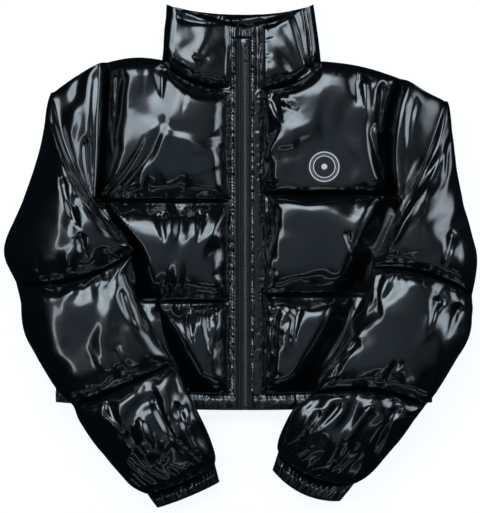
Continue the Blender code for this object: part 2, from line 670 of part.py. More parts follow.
def collar_point(step, v, outside):
    """A point on the band: step along the path, v from the seam to the top edge."""
    layer, side, t = step
    puff = dome(v / 0.34) * mix(1.0, 0.72, smooth((v - 0.72) / 0.28))
    slit_low, slit_high = BACK_LOFT, BACK_LOFT + COLLAR_SLIT
    fold_side = COLLAR_RIGHT if side < 0 else COLLAR_LEFT
    front_thick = EDGE_THICK + (COLLAR_LOFT - EDGE_THICK) * puff
    back_thick = mix(14.0, BACK_LOFT, puff)
    if layer == "front":
        inner_x = ZIP_X + side * ZIP_GAP / 2
        share = t if side < 0 else 1 - t
        outer = mix(fold_side[0], fold_side[1], v)
        x = mix(inner_x, outer - side * COLLAR_FOLD, share)
        low, high = collar_edges("front", x)
        from_zip = abs(x - ZIP_X) - ZIP_GAP / 2
        thick = EDGE_THICK + (front_thick - EDGE_THICK) * dome(from_zip / 40)
        thick += 3.0 * math.sin(math.pi * min(from_zip / PIPING_WIDTH, 1))
        z = slit_high + (thick if outside else 0)
    elif layer == "back":
        right = mix(COLLAR_RIGHT[0], COLLAR_RIGHT[1], v) + COLLAR_FOLD
        left = mix(COLLAR_LEFT[0], COLLAR_LEFT[1], v) - COLLAR_FOLD
        x = mix(right, left, t)
        low, high = collar_edges("back", x)
        z = slit_low - (back_thick if outside else 0)
    else:
        turn = math.pi * (t if side < 0 else 1 - t)
        rim = mix(fold_side[0], fold_side[1], v)
        reach = COLLAR_FOLD if outside else COLLAR_FOLD_INSIDE
        x = rim - side * (COLLAR_FOLD - reach * math.sin(turn))
        a, b = collar_edges("front", x), collar_edges("back", x)
        share = (1 - math.cos(turn)) / 2
        low, high = mix(a[0], b[0], smooth(share * 12)), mix(a[1], b[1], share)
        top = slit_high + (front_thick if outside else 0)
        bottom = slit_low - (back_thick if outside else 0)
        z = mix(top, bottom, share)
    return float(x), float(mix(low, high, v)), float(max(z, 0))


def collar():
    path = collar_path(12, 5, 9)
    heights = np.array([0.0, 0.08, 0.2, 0.4, 0.64, 0.84, 0.95, 1.0])
    outside = np.array([[collar_point(step, v, True) for step in path] for v in heights])
    inside = np.array([[collar_point(step, v, False) for step in path] for v in heights])
    front_steps = np.array([step[0] == "front" for step in path])
    wave = COLLAR_WAVE * np.cos(WAVE * np.arange(len(path))) * front_steps
    near_seam = np.exp(-heights / 0.14) + 0.5 * np.exp(-(1 - heights) / 0.1)
    outside[:, :, 2] += near_seam[:, None] * wave[None, :]
    loops = np.concatenate([outside, inside[:, ::-1]], axis=1)
    rows, around = loops.shape[:2]
    faces = ring_faces((rows, around), 0)
    for row in (0, rows - 1):
        first = row * around
        for k in range(len(path) - 1):
            faces.append((first + k, first + k + 1, first + around - 2 - k, first + around - 1 - k))
    return mesh_object("collar", loops.reshape(-1, 3), faces, FABRIC)


# ---------------------------------------------------------------- zip and badge


def block(name, low, high, finish):
    """A plain box between two corners."""
    corners = [(x, y, z) for x in (low[0], high[0]) for y in (low[1], high[1]) for z in (low[2], high[2])]
    faces = [(0, 1, 3, 2), (4, 6, 7, 5), (0, 4, 5, 1), (2, 3, 7, 6), (0, 2, 6, 4), (1, 5, 7, 3)]
    return mesh_object(name, corners, faces, finish)


def prism(name, outline, low, high, axis, finish, origin=PLAN_CENTRE):
    """An outline in two axes, carried along the third from low to high."""
    others = [k for k in range(3) if k != axis]
    count = len(outline)
    points = np.zeros((2 * count, 3))
    for side, level in enumerate((low, high)):
        points[side * count:(side + 1) * count, others] = outline
        points[side * count:(side + 1) * count, axis] = level
    faces = [tuple(range(count)), tuple(range(2 * count - 1, count - 1, -1))]
    faces += [(k, (k + 1) % count, count + (k + 1) % count, count + k) for k in range(count)]
    return mesh_object(name, points, faces, finish, origin)


def zip_tape(key):
    side = BODY[key]["side"]
    near, far = ZIP_X + side * 0.15, ZIP_X + side * (ZIP_GAP / 2 - 0.3)
    low = (min(near, far), ZIP_BOTTOM, TAPE_Z)
    high = (max(near, far), ZIP_TOP - 4, TAPE_Z + TAPE_THICK)
    return block(f"zip_tape_{side_name(key)}", low, high, TAPE)


def slider():
    """The zip's slider: a channel over the teeth, with the arched bridge that holds the pull."""
    w, c, r = SLIDER_HALF_WIDTH, CHANNEL_HALF_WIDTH, SLIDER_ROUND
    over = [(-w, SLIDER_FOOT), (-w, PLATE_TOP - r), (-w + r, PLATE_TOP)]
    over += [(w - r, PLATE_TOP), (w, PLATE_TOP - r), (w, SLIDER_FOOT)]
    under = [(c, SLIDER_FOOT), (c, CHANNEL_TOP), (-c, CHANNEL_TOP), (-c, SLIDER_FOOT)]
    channel = [(ZIP_X + x, z) for x, z in over + under]
    low, high = SLIDER_Y - SLIDER_HALF_LENGTH, SLIDER_Y + SLIDER_HALF_LENGTH
    body = prism("zip_slider", channel, low, high, 1, METAL)
    outer, inner, root = BRIDGE_HALF_LENGTH, BRIDGE_INSIDE, PLATE_TOP - 0.4
    r, n = BRIDGE_ROUND, BRIDGE_INSIDE_ROUND
    over = [(-outer, root), (-outer, BRIDGE_TOP - r), (-outer + r, BRIDGE_TOP)]
    over += [(outer - r, BRIDGE_TOP), (outer, BRIDGE_TOP - r), (outer, root)]
    under = [(inner, root), (inner, BRIDGE_UNDER - n), (inner - n, BRIDGE_UNDER)]
    under += [(-inner + n, BRIDGE_UNDER), (-inner, BRIDGE_UNDER - n), (-inner, root)]
    arch = [(SLIDER_Y + y, z) for y, z in over + under]
    bridge = prism("bridge", arch, ZIP_X - BRIDGE_HALF_WIDTH, ZIP_X + BRIDGE_HALF_WIDTH, 0, METAL)
    combine(body, bridge, "UNION")


def combine(body, other, operation):
    """Applies one Boolean to body and takes the other object away."""
    change = body.modifiers.new(operation.title(), "BOOLEAN")
    change.operation = operation
    change.solver = "EXACT"
    change.object = other
    graph = bpy.context.evaluated_depsgraph_get()
    joined = bpy.data.meshes.new_from_object(body.evaluated_get(graph))
    body.modifiers.clear()
    body.data = joined
    bpy.data.objects.remove(other)


def zip_pull():
    """The pull tab: a tapered plate whose eye hooks under the slider's bridge, its pivot at the origin."""
    w, end = PULL_HALF_WIDTH, -PULL_LENGTH
    outline = [(-w, 0.8), (w, 0.8), (w, -EYE_END - 2), (w - 0.9, -EYE_END - 5), (w - 0.4, end + 3)]
    outline += [(w - 1.6, end + 0.8), (w - 3.0, end), (3.0 - w, end), (1.6 - w, end + 0.8)]
    outline += [(0.4 - w, end + 3), (0.9 - w, -EYE_END - 5), (-w, -EYE_END - 2)]
    half = PULL_THICK / 2
    plate = prism("zip_pull", outline, -half, half, 2, METAL, origin=(0, 0))
    e = EYE_HALF_WIDTH
    eye = [(-e, -EYE_START), (e, -EYE_START), (e, -EYE_END), (-e, -EYE_END)]
    combine(plate, prism("eye", eye, -4, 4, 2, METAL, origin=(0, 0)), "DIFFERENCE")
    pivot = bpy.data.objects.new("pull_pivot", None)
    bpy.context.collection.objects.link(pivot)
    pivot.location = ((ZIP_X - PLAN_CENTRE[0]) * MM, (SLIDER_Y - PLAN_CENTRE[1]) * MM, PIVOT_Z * MM)
    plate.parent = pivot
    plate.rotation_euler.x = math.radians(PULL_TILT)


def badge():
    """A round rubber patch on the left chest, with a raised rim."""
    base = FRONT_INSIDE + FRONT_CHAMBERS[0][0] + LAYER_GAP
    profile = [(BADGE_RADIUS, 0), (BADGE_RADIUS, BADGE_THICK + 0.3), (BADGE_RADIUS - 0.5, BADGE_THICK + 0.8)]
    profile += [(BADGE_RADIUS - 1.8, BADGE_THICK + 0.8), (BADGE_RADIUS - 2.4, BADGE_THICK)]
    segments = 24
    turn = np.arange(segments) * 2 * math.pi / segments
    radius, height = np.array(profile).T[:, :, None]
    x, y = BADGE_X + radius * np.cos(turn), BADGE_Y + radius * np.sin(turn)
    rings = np.dstack([x, y, base + height + 0 * turn])
    faces = ring_faces(rings.shape[:2], 0)
    faces.append(tuple(range(segments)))
    faces.append(tuple(range((len(rings) - 1) * segments, len(rings) * segments)))
    return mesh_object("badge", rings.reshape(-1, 3), faces, RUBBER)


def main():
    for obj in list(bpy.data.objects):
        bpy.data.objects.remove(obj)
    back()
    collar()
    for key in ("R", "L"):
        front(key)
        sleeve(key)
        cuff(key)
        zip_tape(key)
    for key in ("R", "L"):
        side = BODY[key]["side"]
        start = ZIP_X + side * ZIP_GAP / 2
        end = BODY[key]["hem_corner"][0] - side * 0.5
        hem_band(f"hem_{side_name(key)}", start, end, FRONT_INSIDE, 1, HEM_LOFT, HEM_WAVE, HEM_GATHER)
    right, left = BODY["R"]["hem_corner"][0] + 0.5, BODY["L"]["hem_corner"][0] - 0.5
    hem_band("hem_back", right, left, BACK_LOFT, -1, HEM_BACK_LOFT, HEM_BACK_WAVE, HEM_BACK_GATHER)
    slider()
    zip_pull()
    badge()


main()
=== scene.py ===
"""The looks of a cropped, glossy black puffer jacket that lies on its back with its sleeves folded in.

Tables are in millimetres: X to the garment's left, Y towards its collar, Z up from the table.
A piece is worked out as a grid of points, puffed up by a short cloth simulation, and closed with plain faces.
"""

import math

import bmesh
import bpy
import numpy as np
from bpy.props import FloatProperty, FloatVectorProperty, IntProperty, PointerProperty
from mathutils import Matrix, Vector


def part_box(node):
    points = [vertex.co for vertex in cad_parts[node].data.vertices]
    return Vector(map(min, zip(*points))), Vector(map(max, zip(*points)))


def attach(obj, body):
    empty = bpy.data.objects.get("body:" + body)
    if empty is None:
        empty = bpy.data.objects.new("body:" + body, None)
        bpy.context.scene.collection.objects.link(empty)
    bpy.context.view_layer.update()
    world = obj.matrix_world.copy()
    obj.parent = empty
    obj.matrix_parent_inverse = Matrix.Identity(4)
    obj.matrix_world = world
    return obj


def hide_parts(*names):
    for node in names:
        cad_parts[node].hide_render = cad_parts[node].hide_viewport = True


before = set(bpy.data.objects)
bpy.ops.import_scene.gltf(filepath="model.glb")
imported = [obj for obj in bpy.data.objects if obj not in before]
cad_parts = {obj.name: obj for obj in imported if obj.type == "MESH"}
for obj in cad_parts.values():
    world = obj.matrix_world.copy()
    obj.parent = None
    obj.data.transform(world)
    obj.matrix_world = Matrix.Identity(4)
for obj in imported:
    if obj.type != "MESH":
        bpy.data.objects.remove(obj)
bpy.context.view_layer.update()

bl_info = {
    "name": "Puffer Jacket Builder",
    "version": (1, 0, 0),
    "blender": (4, 5, 0),
    "location": "3D View > Sidebar > Puffer Jacket",
    "description": "Builds the cloth, zip, badge and sewing of a padded jacket around its fixed frame",
    "category": "Add Mesh",
}

MM = 0.001
PLAN_CENTRE = np.array((0.557, 0.853))
JACKET, PULL = "jacket", "pull"

# Layers, from the table up
BACK_LOFT = 24.0
FRONT_INSIDE = 24.3
EDGE_THICK = 4.0
QUILT_THICK = 7.0
BACK_QUILT_THICK = 13.0
BACK_PUFF = 34.0
PRESSED_TOP = 41.0
SLEEVE_REST = 45.5

ZIP_X = 8.0
ZIP_GAP = 27.0
ZIP_TOP = 345.0
ZIP_BOTTOM = -231.0
TAPE_Z = 26.0
TAPE_TOP = 27.2
PIPING_WIDTH = 11.0
CORD_X = {"R": -10.5, "L": 19.6}
CORD_RADIUS, CORD_PITCH = 3.3, 4.6
# Columns of points across the piping, and the distances from a seam at which puckers and folds are whole
PIPING_COLUMNS = 9
PUCKER_START, FOLD_START = 5.0, 14.0
# Stitches of the quilting and of the tapes: length, gap, radius. The tapes' are that far off the middle
QUILT_STITCH, TAPE_STITCH = (2.6, 0.9, 0.36), (2.4, 0.9, 0.4)
TAPE_STITCH_X = (-8.4, 8.0)

# The outline of the body, right (R) and left (L) as the wearer has them
BODY = {
    "R": {
        "name": "right",
        "side": -1,
        "neck_point": (-118.0, 297.0),
        "shoulder": (-197.0, 294.0),
        "armhole_end": (-214.0, 84.0),
        "armhole_bow": -3.0,
        "underarm": (-266.0, 42.0),
        "hem_corner": (-278.0, -219.0),
        "quilt_y": (85.0, -66.0),
    },
    "L": {
        "name": "left",
        "side": 1,
        "neck_point": (123.0, 295.0),
        "shoulder": (238.0, 270.0),
        "armhole_end": (236.0, 79.0),
        "armhole_bow": -19.0,
        "underarm": (283.0, 42.0),
        "hem_corner": (290.0, -219.0),
        "quilt_y": (96.0, -57.0),
    },
}
# The body's upper and lower edges
NECK_Y = 252.0
BACK_NECK_Y = 291.0
NECK_POWER = 2.8
SHOULDER_RISE = 5.0
HEM_SEAM_Y = -207.0
BACK_LEVELS = (90.0, -62.0, HEM_SEAM_Y)
HEM_SAG = 12.0

# Front chambers, from the shoulder down: full thickness, how far above and below a seam they reach it
FRONT_CHAMBERS = {
    "R": ((37.0, 30.0, 24.0), (36.0, 40.0, 30.0), (34.0, 40.0, 34.0)),
    "L": ((37.0, 28.0, 24.0), (36.0, 22.0, 30.0), (34.0, 30.0, 34.0)),
}
# Over what distance a front rounds off, and by what share its chambers rise towards their middle
SIDE_ROUNDING = 34.0
ZIP_ROUNDING = 26.0
CROWN = {"R": 0.05, "L": 0.02}
ARMHOLE_OVERLAP, ARMHOLE_END_OVERLAP = 3.0, 7.0

# The way in which the tipped places lean, in X and Y: towards the window
TIP_TOWARDS = (-0.38, 0.92)

# The badge, and the flat round under it with the width over which it blends
BADGE_X, BADGE_Y, BADGE_RADIUS = 126.0, 135.0, 27.0
BADGE_FLAT, BADGE_BLEND = 38.0, 34.0

# Where the inner edge of each folded sleeve crosses the front: y, x
SHADE = {
    "R": (
        (84, -214),
        (15, -160),
        (-31, -168),
        (-52, -155),
        (-96, -134),
        (-135, -111),
        (-156, -101),
        (-190, -84),
        (-231, -62),
    ),
    "L": (
        (79, 236),
        (6, 203),
        (-48, 186),
        (-84, 170),
        (-118, 156),
        (-156, 129),
        (-204, 107),
        (-228, 78),
    ),
}
# Over what width beside that edge the front falls, and the same near the armhole
SHADE_LEAD = {"R": 40.0, "L": 48.0}
SHADE_LEAD_TOP = {"R": 14.0, "L": 48.0}

# Sleeve stations: outer edge x and y, inner edge x and y, bow of the line between them, loft
SLEEVES = {
    "R": {
        "armhole": (-198, 294, -215, 85.5, -3, 9),
        "cap": (-214, 289, -216.7, 87.2, 0, 20),
        "cap_low": (-246, 271, -222, 91, 14, 18),
        "valley": (-277, 249, -170, 28, 24, 17),
        "crease": (-286, 238, -160, 15, 25, 33),
        "upper_1": (-303, 158, -158, 12, 10, 36),
        "upper_2": (-326, 88, -157, 11, 6, 38),
        "upper_3": (-354, 14, -157, 10, 10, 36),
        "seam_1": (-337, -38, -159, 6, 16, 34),
        "middle_1": (-330, -66, -168, -22, 14, 36),
        "middle_2": (-324, -110, -155, -54, 8, 38),
        "middle_3": (-304, -151, -129, -104, 6, 38),
        "middle_4": (-272, -200, -106, -146, 4, 36),
        "seam_2": (-250, -222, -100, -158, 3, 34),
        "lower_1": (-238, -250, -83, -190, 2, 36),
        "lower_2": (-206, -296, -54, -250, 2, 36),
        "lower_3": (-168, -340, -38, -294, 4, 33),
        "cuff_seam": (-141, -357, -38, -313, 4, 26),
    },
    "L": {
        "armhole": (239, 270, 237, 81, -19, 9),
        "cap": (256, 262, 238.7, 83, -12, 20),
        "cap_low": (280, 248, 242, 87.5, 0, 18),
        "valley": (307, 234, 212, 18, 8, 17),
        "crease": (315, 225, 203, 4, 8, 33),
        "upper_1": (323, 150, 200, 0, 6, 36),
        "upper_2": (336, 80, 199, -4, 4, 38),
        "upper_3": (355, 2, 198, -10, 0, 36),
        "seam_1": (349, -58, 197, -16, -12, 34),
        "middle_1": (348, -84, 190, -44, -4, 36),
        "middle_2": (342, -122, 170, -84, 2, 38),
        "middle_3": (320, -162, 148, -130, 0, 38),
        "middle_4": (291, -205, 118, -176, -8, 36),
        "seam_2": (277, -222, 108, -204, -14, 34),
        "lower_1": (262, -242, 80, -226, -6, 36),
        "lower_2": (236, -278, 62, -262, 0, 36),
        "lower_3": (200, -320, 56, -284, 8, 33),
        "cuff_seam": (174, -341, 58, -294, 14, 26),
    },
}
STATIONS = tuple(SLEEVES["R"])
QUILTED_AT = ("armhole", "seam_1", "seam_2", "cuff_seam")
CUFF_END = {"R": ((-125, -379, -31, -340), 2), "L": ((151, -369, 49, -322), 13)}
# A sleeve's lower layer, its upper layer at a seam, and how far a seam draws its underside up
SLEEVE_UNDER = 22.0
SLEEVE_SEAM_LOFT = 10.0
SLEEVE_SEAM_RISE = 6.0
SLEEVE_ROUNDING = 24.0
SLEEVE_ACROSS, BACK_ACROSS = 95.0, 270.0
ARMHOLE_UNDERSIDE = 11.0
# How far outside the body the sleeve's lower and upper surface come down to the table
DRAPE_BELOW, DRAPE_ABOVE = 42.0, 200.0
# Beside the body a sleeve's height comes down from the second of these levels, in Y, to the first
DRAPE_FROM, DRAPE_BY = 900.0, -60.0
# How far up between its lower and its upper surface a sleeve is widest
MIDDLE_SHARE = 0.42
# Between the armhole and the fold: how the columns crowd, and the share of the puckers and the puffing
CAP_CROWD, CAP_CALM = 2.9, 0.3
# The cuffs: their height, their length and the way round, and along them the share of that height
CUFF_TOP, CUFF_LONG, CUFF_ROUND = 40.0, 30.0, 250.0
CUFF_ARCH = ((-0.12, 0.5), (0.0, 0.66), (0.15, 0.86), (0.5, 1.0), (0.9, 0.93), (0.98, 0.84), (1.0, 0.76))
HEM_DEEP, HEM_LOFT, BACK_HEM_LOFT = 24.0, 11.0, 16.0
HEM_ROWS_OF_STITCHES = (0.18, 0.82)

# The collar: its top edge, its sides at the seam and at the top, the thickness, and the turn at each side
COLLAR_TOP_BACK, COLLAR_TIP = 366.0, 381.0
COLLAR_SIDE = {"R": (-118.0, -111.0), "L": (123.0, 111.0)}
COLLAR_FRONT_POWER, COLLAR_BACK_POWER = 1.7, 2.4
COLLAR_LOFT = 27.0
COLLAR_BACK_SEAM = 14.0
COLLAR_SLIT = 0.6
# Lengths that set the collar's points: up it, along a front, round a side and along the back
COLLAR_UP, COLLAR_RUNS = 56.0, (112.0, 60.0, 200.0)
COLLAR_TURN = 16.0
# Where each half of the collar is highest, and how it slopes down from there to the garment's left
COLLAR_CREST, COLLAR_FALL = {"R": -60.0, "L": 54.0}, 0.24

# The guard over the zip's upper end: half its width, and from where to where it runs
GUARD_HALF, GUARD_FROM, GUARD_TO = 13.5, 329.0, 351.0
# A tape from the teeth outwards: distance from the zip's middle, and how far it stands up
TAPE_PROFILE = (
    (1.9, 0.2),
    (2.4, 0.3),
    (5.8, 0.0),
    (6.2, 0.0),
    (6.8, 0.7),
    (7.4, 0.0),
    (9.2, 0.0),
    (9.8, 0.6),
    (10.4, 0.0),
    (13.4, 0.1),
)
# Half the outline of a tooth from its foot to its head, and its levels above the tape
TOOTH = [(-5.2, 0.7), (-4.0, 0.85), (-1.4, 0.7), (-0.5, 0.45), (0.2, 0.5), (0.8, 1.0), (1.5, 0.6)]
TOOTH_LEVELS = (-0.9, 1.7, 2.4, 2.75)
# Above this level the two rows of teeth stand apart, each by that much
PARTED_FROM, PARTED_BY = 318.0, 2.2

# The slider: its middle, its plate and its bridge in outline, and its flanges
SLIDER_Y, PIVOT_Z = 322.0, 34.0
PLATE_LOW, PLATE_HIGH = 30.2, 32.4
PLATE_SIDE = [(4.6, -6.5), (5.4, -4.5), (6.3, 2.0), (6.3, 5.5), (4.4, 6.5)]
FLANGE_X, FLANGE_Y, FLANGE_Z = (5.0, 6.3), (-4.5, 5.5), (27.5, 31.0)
BRIDGE_OVER = [(5.0, 32.0), (5.0, 35.8), (3.8, 37.0), (1.5, 37.2)]
BRIDGE_UNDER = [(3.4, 32.0), (3.4, 35.0), (2.8, 35.6)]
BRIDGE_HALF = 1.7
# The pull tab, flat and with its pin at 0, 0: half its thickness, its tilt in degrees, half its outline
TAB_HALF, TAB_TILT = 0.8, 4.5
TAB_SIDE = [(3.9, 0.8), (3.9, -8.8), (3.0, -11.8), (3.5, -24.0), (2.3, -26.2), (0.9, -27.0)]
TAB_HOLES = {
    "eye": [(-2.4, -0.8), (2.4, -0.8), (2.4, -6.8), (-2.4, -6.8)],
    "slot": [(-1.2, -14.0), (1.2, -14.0), (1.2, -22.6), (0.5, -23.4), (-0.5, -23.4), (-1.2, -22.6)],
}
RAIL_X, RAIL_HALF, RAIL_HIGH, RAIL_RUN = 2.55, 0.95, 0.75, (-24.4, -9.6)

# The badge's face: inwards from its rim (distance, height), then from its middle (radius, height)
BADGE_RIM = ((0.6, 0.0), (0.0, 0.5), (0.0, 2.0), (0.5, 2.55), (1.5, 2.6), (2.2, 1.9), (2.6, 1.8))
BADGE_FACE = [(23.0, 1.8), (15.0, 1.8), (1.0, 1.8)]
# Its rings: middle radius, half width. Its ticks, the circle that they stand on, and its stud
RINGS = {"badge_outer_ring": (21.9, 0.95), "badge_inner_ring": (16.2, 0.75)}
TICK, TICK_CIRCLE = [(-0.9, -0.3), (0.9, -0.3), (0.9, 0.3), (-0.9, 0.3)], 19.0
STUD = [(4.4, 1.7), (4.2, 2.2), (3.4, 2.5), (1.6, 2.7)]

# A stitch along its length: place, share of its radius
THREAD_SHAPE = ((0.0, 0.35), (0.15, 0.9), (0.5, 1.1), (0.85, 0.9), (1.0, 0.35))

# Glowing panels, in metres: place, size, the setting and the share of it that is their brightness,
# colour, and the share of their half width over which they fade
PALE, PALER = (0.76, 0.89, 1.0), (0.80, 0.90, 1.0)
PANELS = {
    "window": ((-0.46, 1.12, 1.95), (2.0, 1.4), "key_light", 1.0, PALE, 0.35),
    "side_window": ((1.9, 0.6, 1.0), (1.8, 2.0), "side_light", 1.0, (0.76, 0.88, 1.0), 0.6),
    "strip": ((-1.0, 0.05, 1.9), (1.5, 0.2), "key_light", 0.9, PALER, 0.3),
    "front_strip": ((0.25, -1.15, 1.9), (1.4, 0.12), "key_light", 0.32, PALER, 0.3),
    "low_strip": ((0.1, -1.6, 1.1), (2.0, 0.12), "key_light", 0.26, PALER, 0.3),
    "floor_strip": ((0.0, -1.7, 0.5), (2.0, 0.10), "key_light", 0.26, PALER, 0.3),
    "ceiling": ((0.25, -0.1, 3.0), (3.7, 4.5), "ceiling", 1.0, (0.60, 0.82, 1.0), 0.8),
}
PANEL_AIM = (0.0, 0.0, 0.05)
FLOOR_SIZE, FLOOR_BELOW, FLOOR_GLOW = 6.0, 0.0005, 0.97
SENSOR, SHOWN_WIDTH, FOCUS_HEIGHT = 36.0, 0.7695, 0.05


# ---------------------------------------------------------------- small maths


def smooth(t):
    """An S-shaped step from 0 to 1."""
    t = np.clip(t, 0.0, 1.0)
    return t * t * (3 - 2 * t)


def dome(t):
    """A quarter circle: 0 at 0, and 1 from 1 on."""
    return np.sqrt(1 - (1 - np.clip(t, 0.0, 1.0)) ** 2)


def mix(a, b, t):
    return a + (b - a) * t


def spaced(count, crowd):
    """0 to 1 in count steps, closer together at both ends by that much."""
    t = np.linspace(0, 1, count + 1)
    return mix(t, (1 - np.cos(math.pi * t)) / 2, crowd)


def curve_through(values, at):
    """A smooth curve through the rows of a table, read at row numbers (Catmull-Rom)."""
    values = np.asarray(values, float)
    last = len(values) - 1
    i = np.clip(np.floor(at).astype(int), 0, last - 1)
    t = (at - i).reshape((-1,) + (1,) * (values.ndim - 1))
    before, here = values[np.maximum(i - 1, 0)], values[i]
    after, beyond = values[i + 1], values[np.minimum(i + 2, last)]
    return 0.5 * (
        2 * here
        + (after - before) * t
        + (2 * before - 5 * here + 4 * after - beyond) * t**2
        + (3 * here - before - 3 * after + beyond) * t**3
    )


def wander(x, seed):
    """A smooth, uneven wave between -1 and 1 about one unit long: three sines that don't fall in step."""
    turn = np.random.default_rng(seed).random(3) * 2 * math.pi
    turn = np.random.default_rng(seed).random(3) * 2 * math.pi
    waves = ((1.0, 5.1), (0.7, 3.3), (0.5, 8.3))
    return sum(size * np.sin(wave * x + by) for (size, wave), by in zip(waves, turn)) / 2.2

def swells(x, y, seed, length=110.0):
    """Broad uneven rises between -1 and 1: seven plane waves of about that length, in every direction."""
    rng = np.random.default_rng(seed)
    total = np.zeros(np.shape(x))
    for heading, stretch, turn in rng.random((7, 3)):
        wave = 2 * math.pi / (length * (0.6 + 0.9 * stretch))
        along = x * math.cos(math.pi * heading) + y * math.sin(math.pi * heading)
        total += np.sin(wave * along + 2 * math.pi * turn)
    return total / 4.0


def petals(along, away, pitch, reach, seed, lean=0.5):
    """Puckers that fan out from a seam, 1 where deepest.

    along and away are distances along the seam and off it. The seam is cut into uneven cells about one
    pitch long. Each holds one dent with its own length, depth and slant. Its outline is a tongue, as wide
    as the cell at the seam and pointed at its far end, and it leans as its neighbours do. Across it the
    dent is a tent with a rounded bottom off its middle, so one flank is broad and the other steep.
    """
    rng = np.random.default_rng(seed)
    length, depth, place = rng.random((3, 997))
    cell = (along + lean * away * wander(along / (5 * pitch), seed + 1)) / pitch
    cell = cell + 0.3 * wander(along / (2.3 * pitch), seed + 2) + 60
    number = np.floor(cell).astype(int) % 997
    left = np.clip(1 - away / (reach * (0.25 + 1.0 * length[number] ** 1.6)), 0, 1)
    shift = 0.30 * (place[number] - 0.5)
    across = (cell - np.floor(cell) - 0.5 - shift * (1 - left)) / (0.5 * np.maximum(left, 1e-6) ** 0.75)
    bottom = 0.55 * np.sign(length[number] - 0.5)
    tent = np.minimum((across + 1) / (1 + bottom), (1 - across) / (1 - bottom))
    tent = np.clip(tent, 0, 1)
    return (0.3 + 0.7 * depth[number]) * left**0.8 * tent * (1.5 - 0.5 * tent**2)


def crease(x, y, start, end, width, bend=0.0):
    """A long fold between two points, 1 along its line: a bell across it, broad at first and then thinning.

    bend moves its middle sideways by that share of its length.
    """
    start, end = np.array(start, float), np.array(end, float)
    run = end - start
    length = np.hypot(*run)
    t = ((x - start[0]) * run[0] + (y - start[1]) * run[1]) / length**2
    off = ((x - start[0]) * run[1] - (y - start[1]) * run[0]) / length
    off = off - 4 * bend * length * t * (1 - t)
    fade = np.clip(np.minimum(7 * t, 1) * (1 - t), 0, 1)
    return np.exp(-((off / (width * (0.3 + 0.9 * fade))) ** 2)) * fade**0.7


def tipped(x, y, places, seed):
    """Places where the cloth tips towards the collar: a slope times a bell that is longer one way.

    Each row of places has its centre, half length, half width, heading in degrees and slope.
    """
    total = np.zeros(np.shape(x))
    bent_x, bent_y = x + 4 * swells(x, y, seed, 55), y + 4 * swells(x, y, seed + 1, 55)
    for (centre_x, centre_y), long, wide, heading, slope in places:
        off_x, off_y = bent_x - centre_x, bent_y - centre_y
        c, s = math.cos(math.radians(heading)), math.sin(math.radians(heading))
        bell = np.exp(-(((off_x * c + off_y * s) / long) ** 2) - ((off_y * c - off_x * s) / wide) ** 2)
        total -= slope * (TIP_TOWARDS[0] * off_x + TIP_TOWARDS[1] * off_y) * bell
    return total


# ---------------------------------------------------------------- meshes


def to_frame(points):
    """Millimetres in the garment's plan to metres in the frame."""
    placed = np.array(points, float)
    placed[..., :2] -= PLAN_CENTRE
    return placed * MM


def grid_faces(index, around=False):
    """Quads of a grid of point numbers, closed round its second axis if asked."""
    if around:
        index = np.concatenate([index, index[:, :1]], axis=1)
    quads = np.stack([index[:-1, :-1], index[:-1, 1:], index[1:, 1:], index[1:, :-1]], axis=-1)
    return quads.reshape(-1, 4)


def mesh_piece(name, points, faces, sharp=50.0):
    """A mesh object from points in millimetres, its doubles merged and its faces turned outwards."""
    mesh = bpy.data.meshes.new(name)
    mesh.from_pydata(to_frame(points).tolist(), [], [tuple(int(k) for k in face) for face in faces])
    work = bmesh.new()
    work.from_mesh(mesh)
    bmesh.ops.remove_doubles(work, verts=work.verts, dist=1e-6)
    bmesh.ops.recalc_face_normals(work, faces=work.faces)
    work.to_mesh(mesh)
    work.free()
    piece = bpy.data.objects.new(name, mesh)
    bpy.context.scene.collection.objects.link(piece)
    mesh.shade_smooth()
    mesh.set_sharp_from_angle(angle=math.radians(sharp))
    return piece


def dressed(piece, finish, replaces=(), body=JACKET):
    """Gives a piece its material, the nodes it stands for and the body it rides on."""
    piece.data.materials.clear()
    piece.data.materials.append(finish)
    if replaces:
        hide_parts(*replaces)
    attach(piece, body)
    return piece


def refine(points):
    """Twice as many rows and columns: each new point lies on a smooth curve through its neighbours."""
    for axis in (0, 1):
        swapped = np.moveaxis(points, axis, 0)
        at = np.linspace(0, len(swapped) - 1, 2 * len(swapped) - 1)
        points = np.moveaxis(curve_through(swapped, at), 0, axis)
    return points


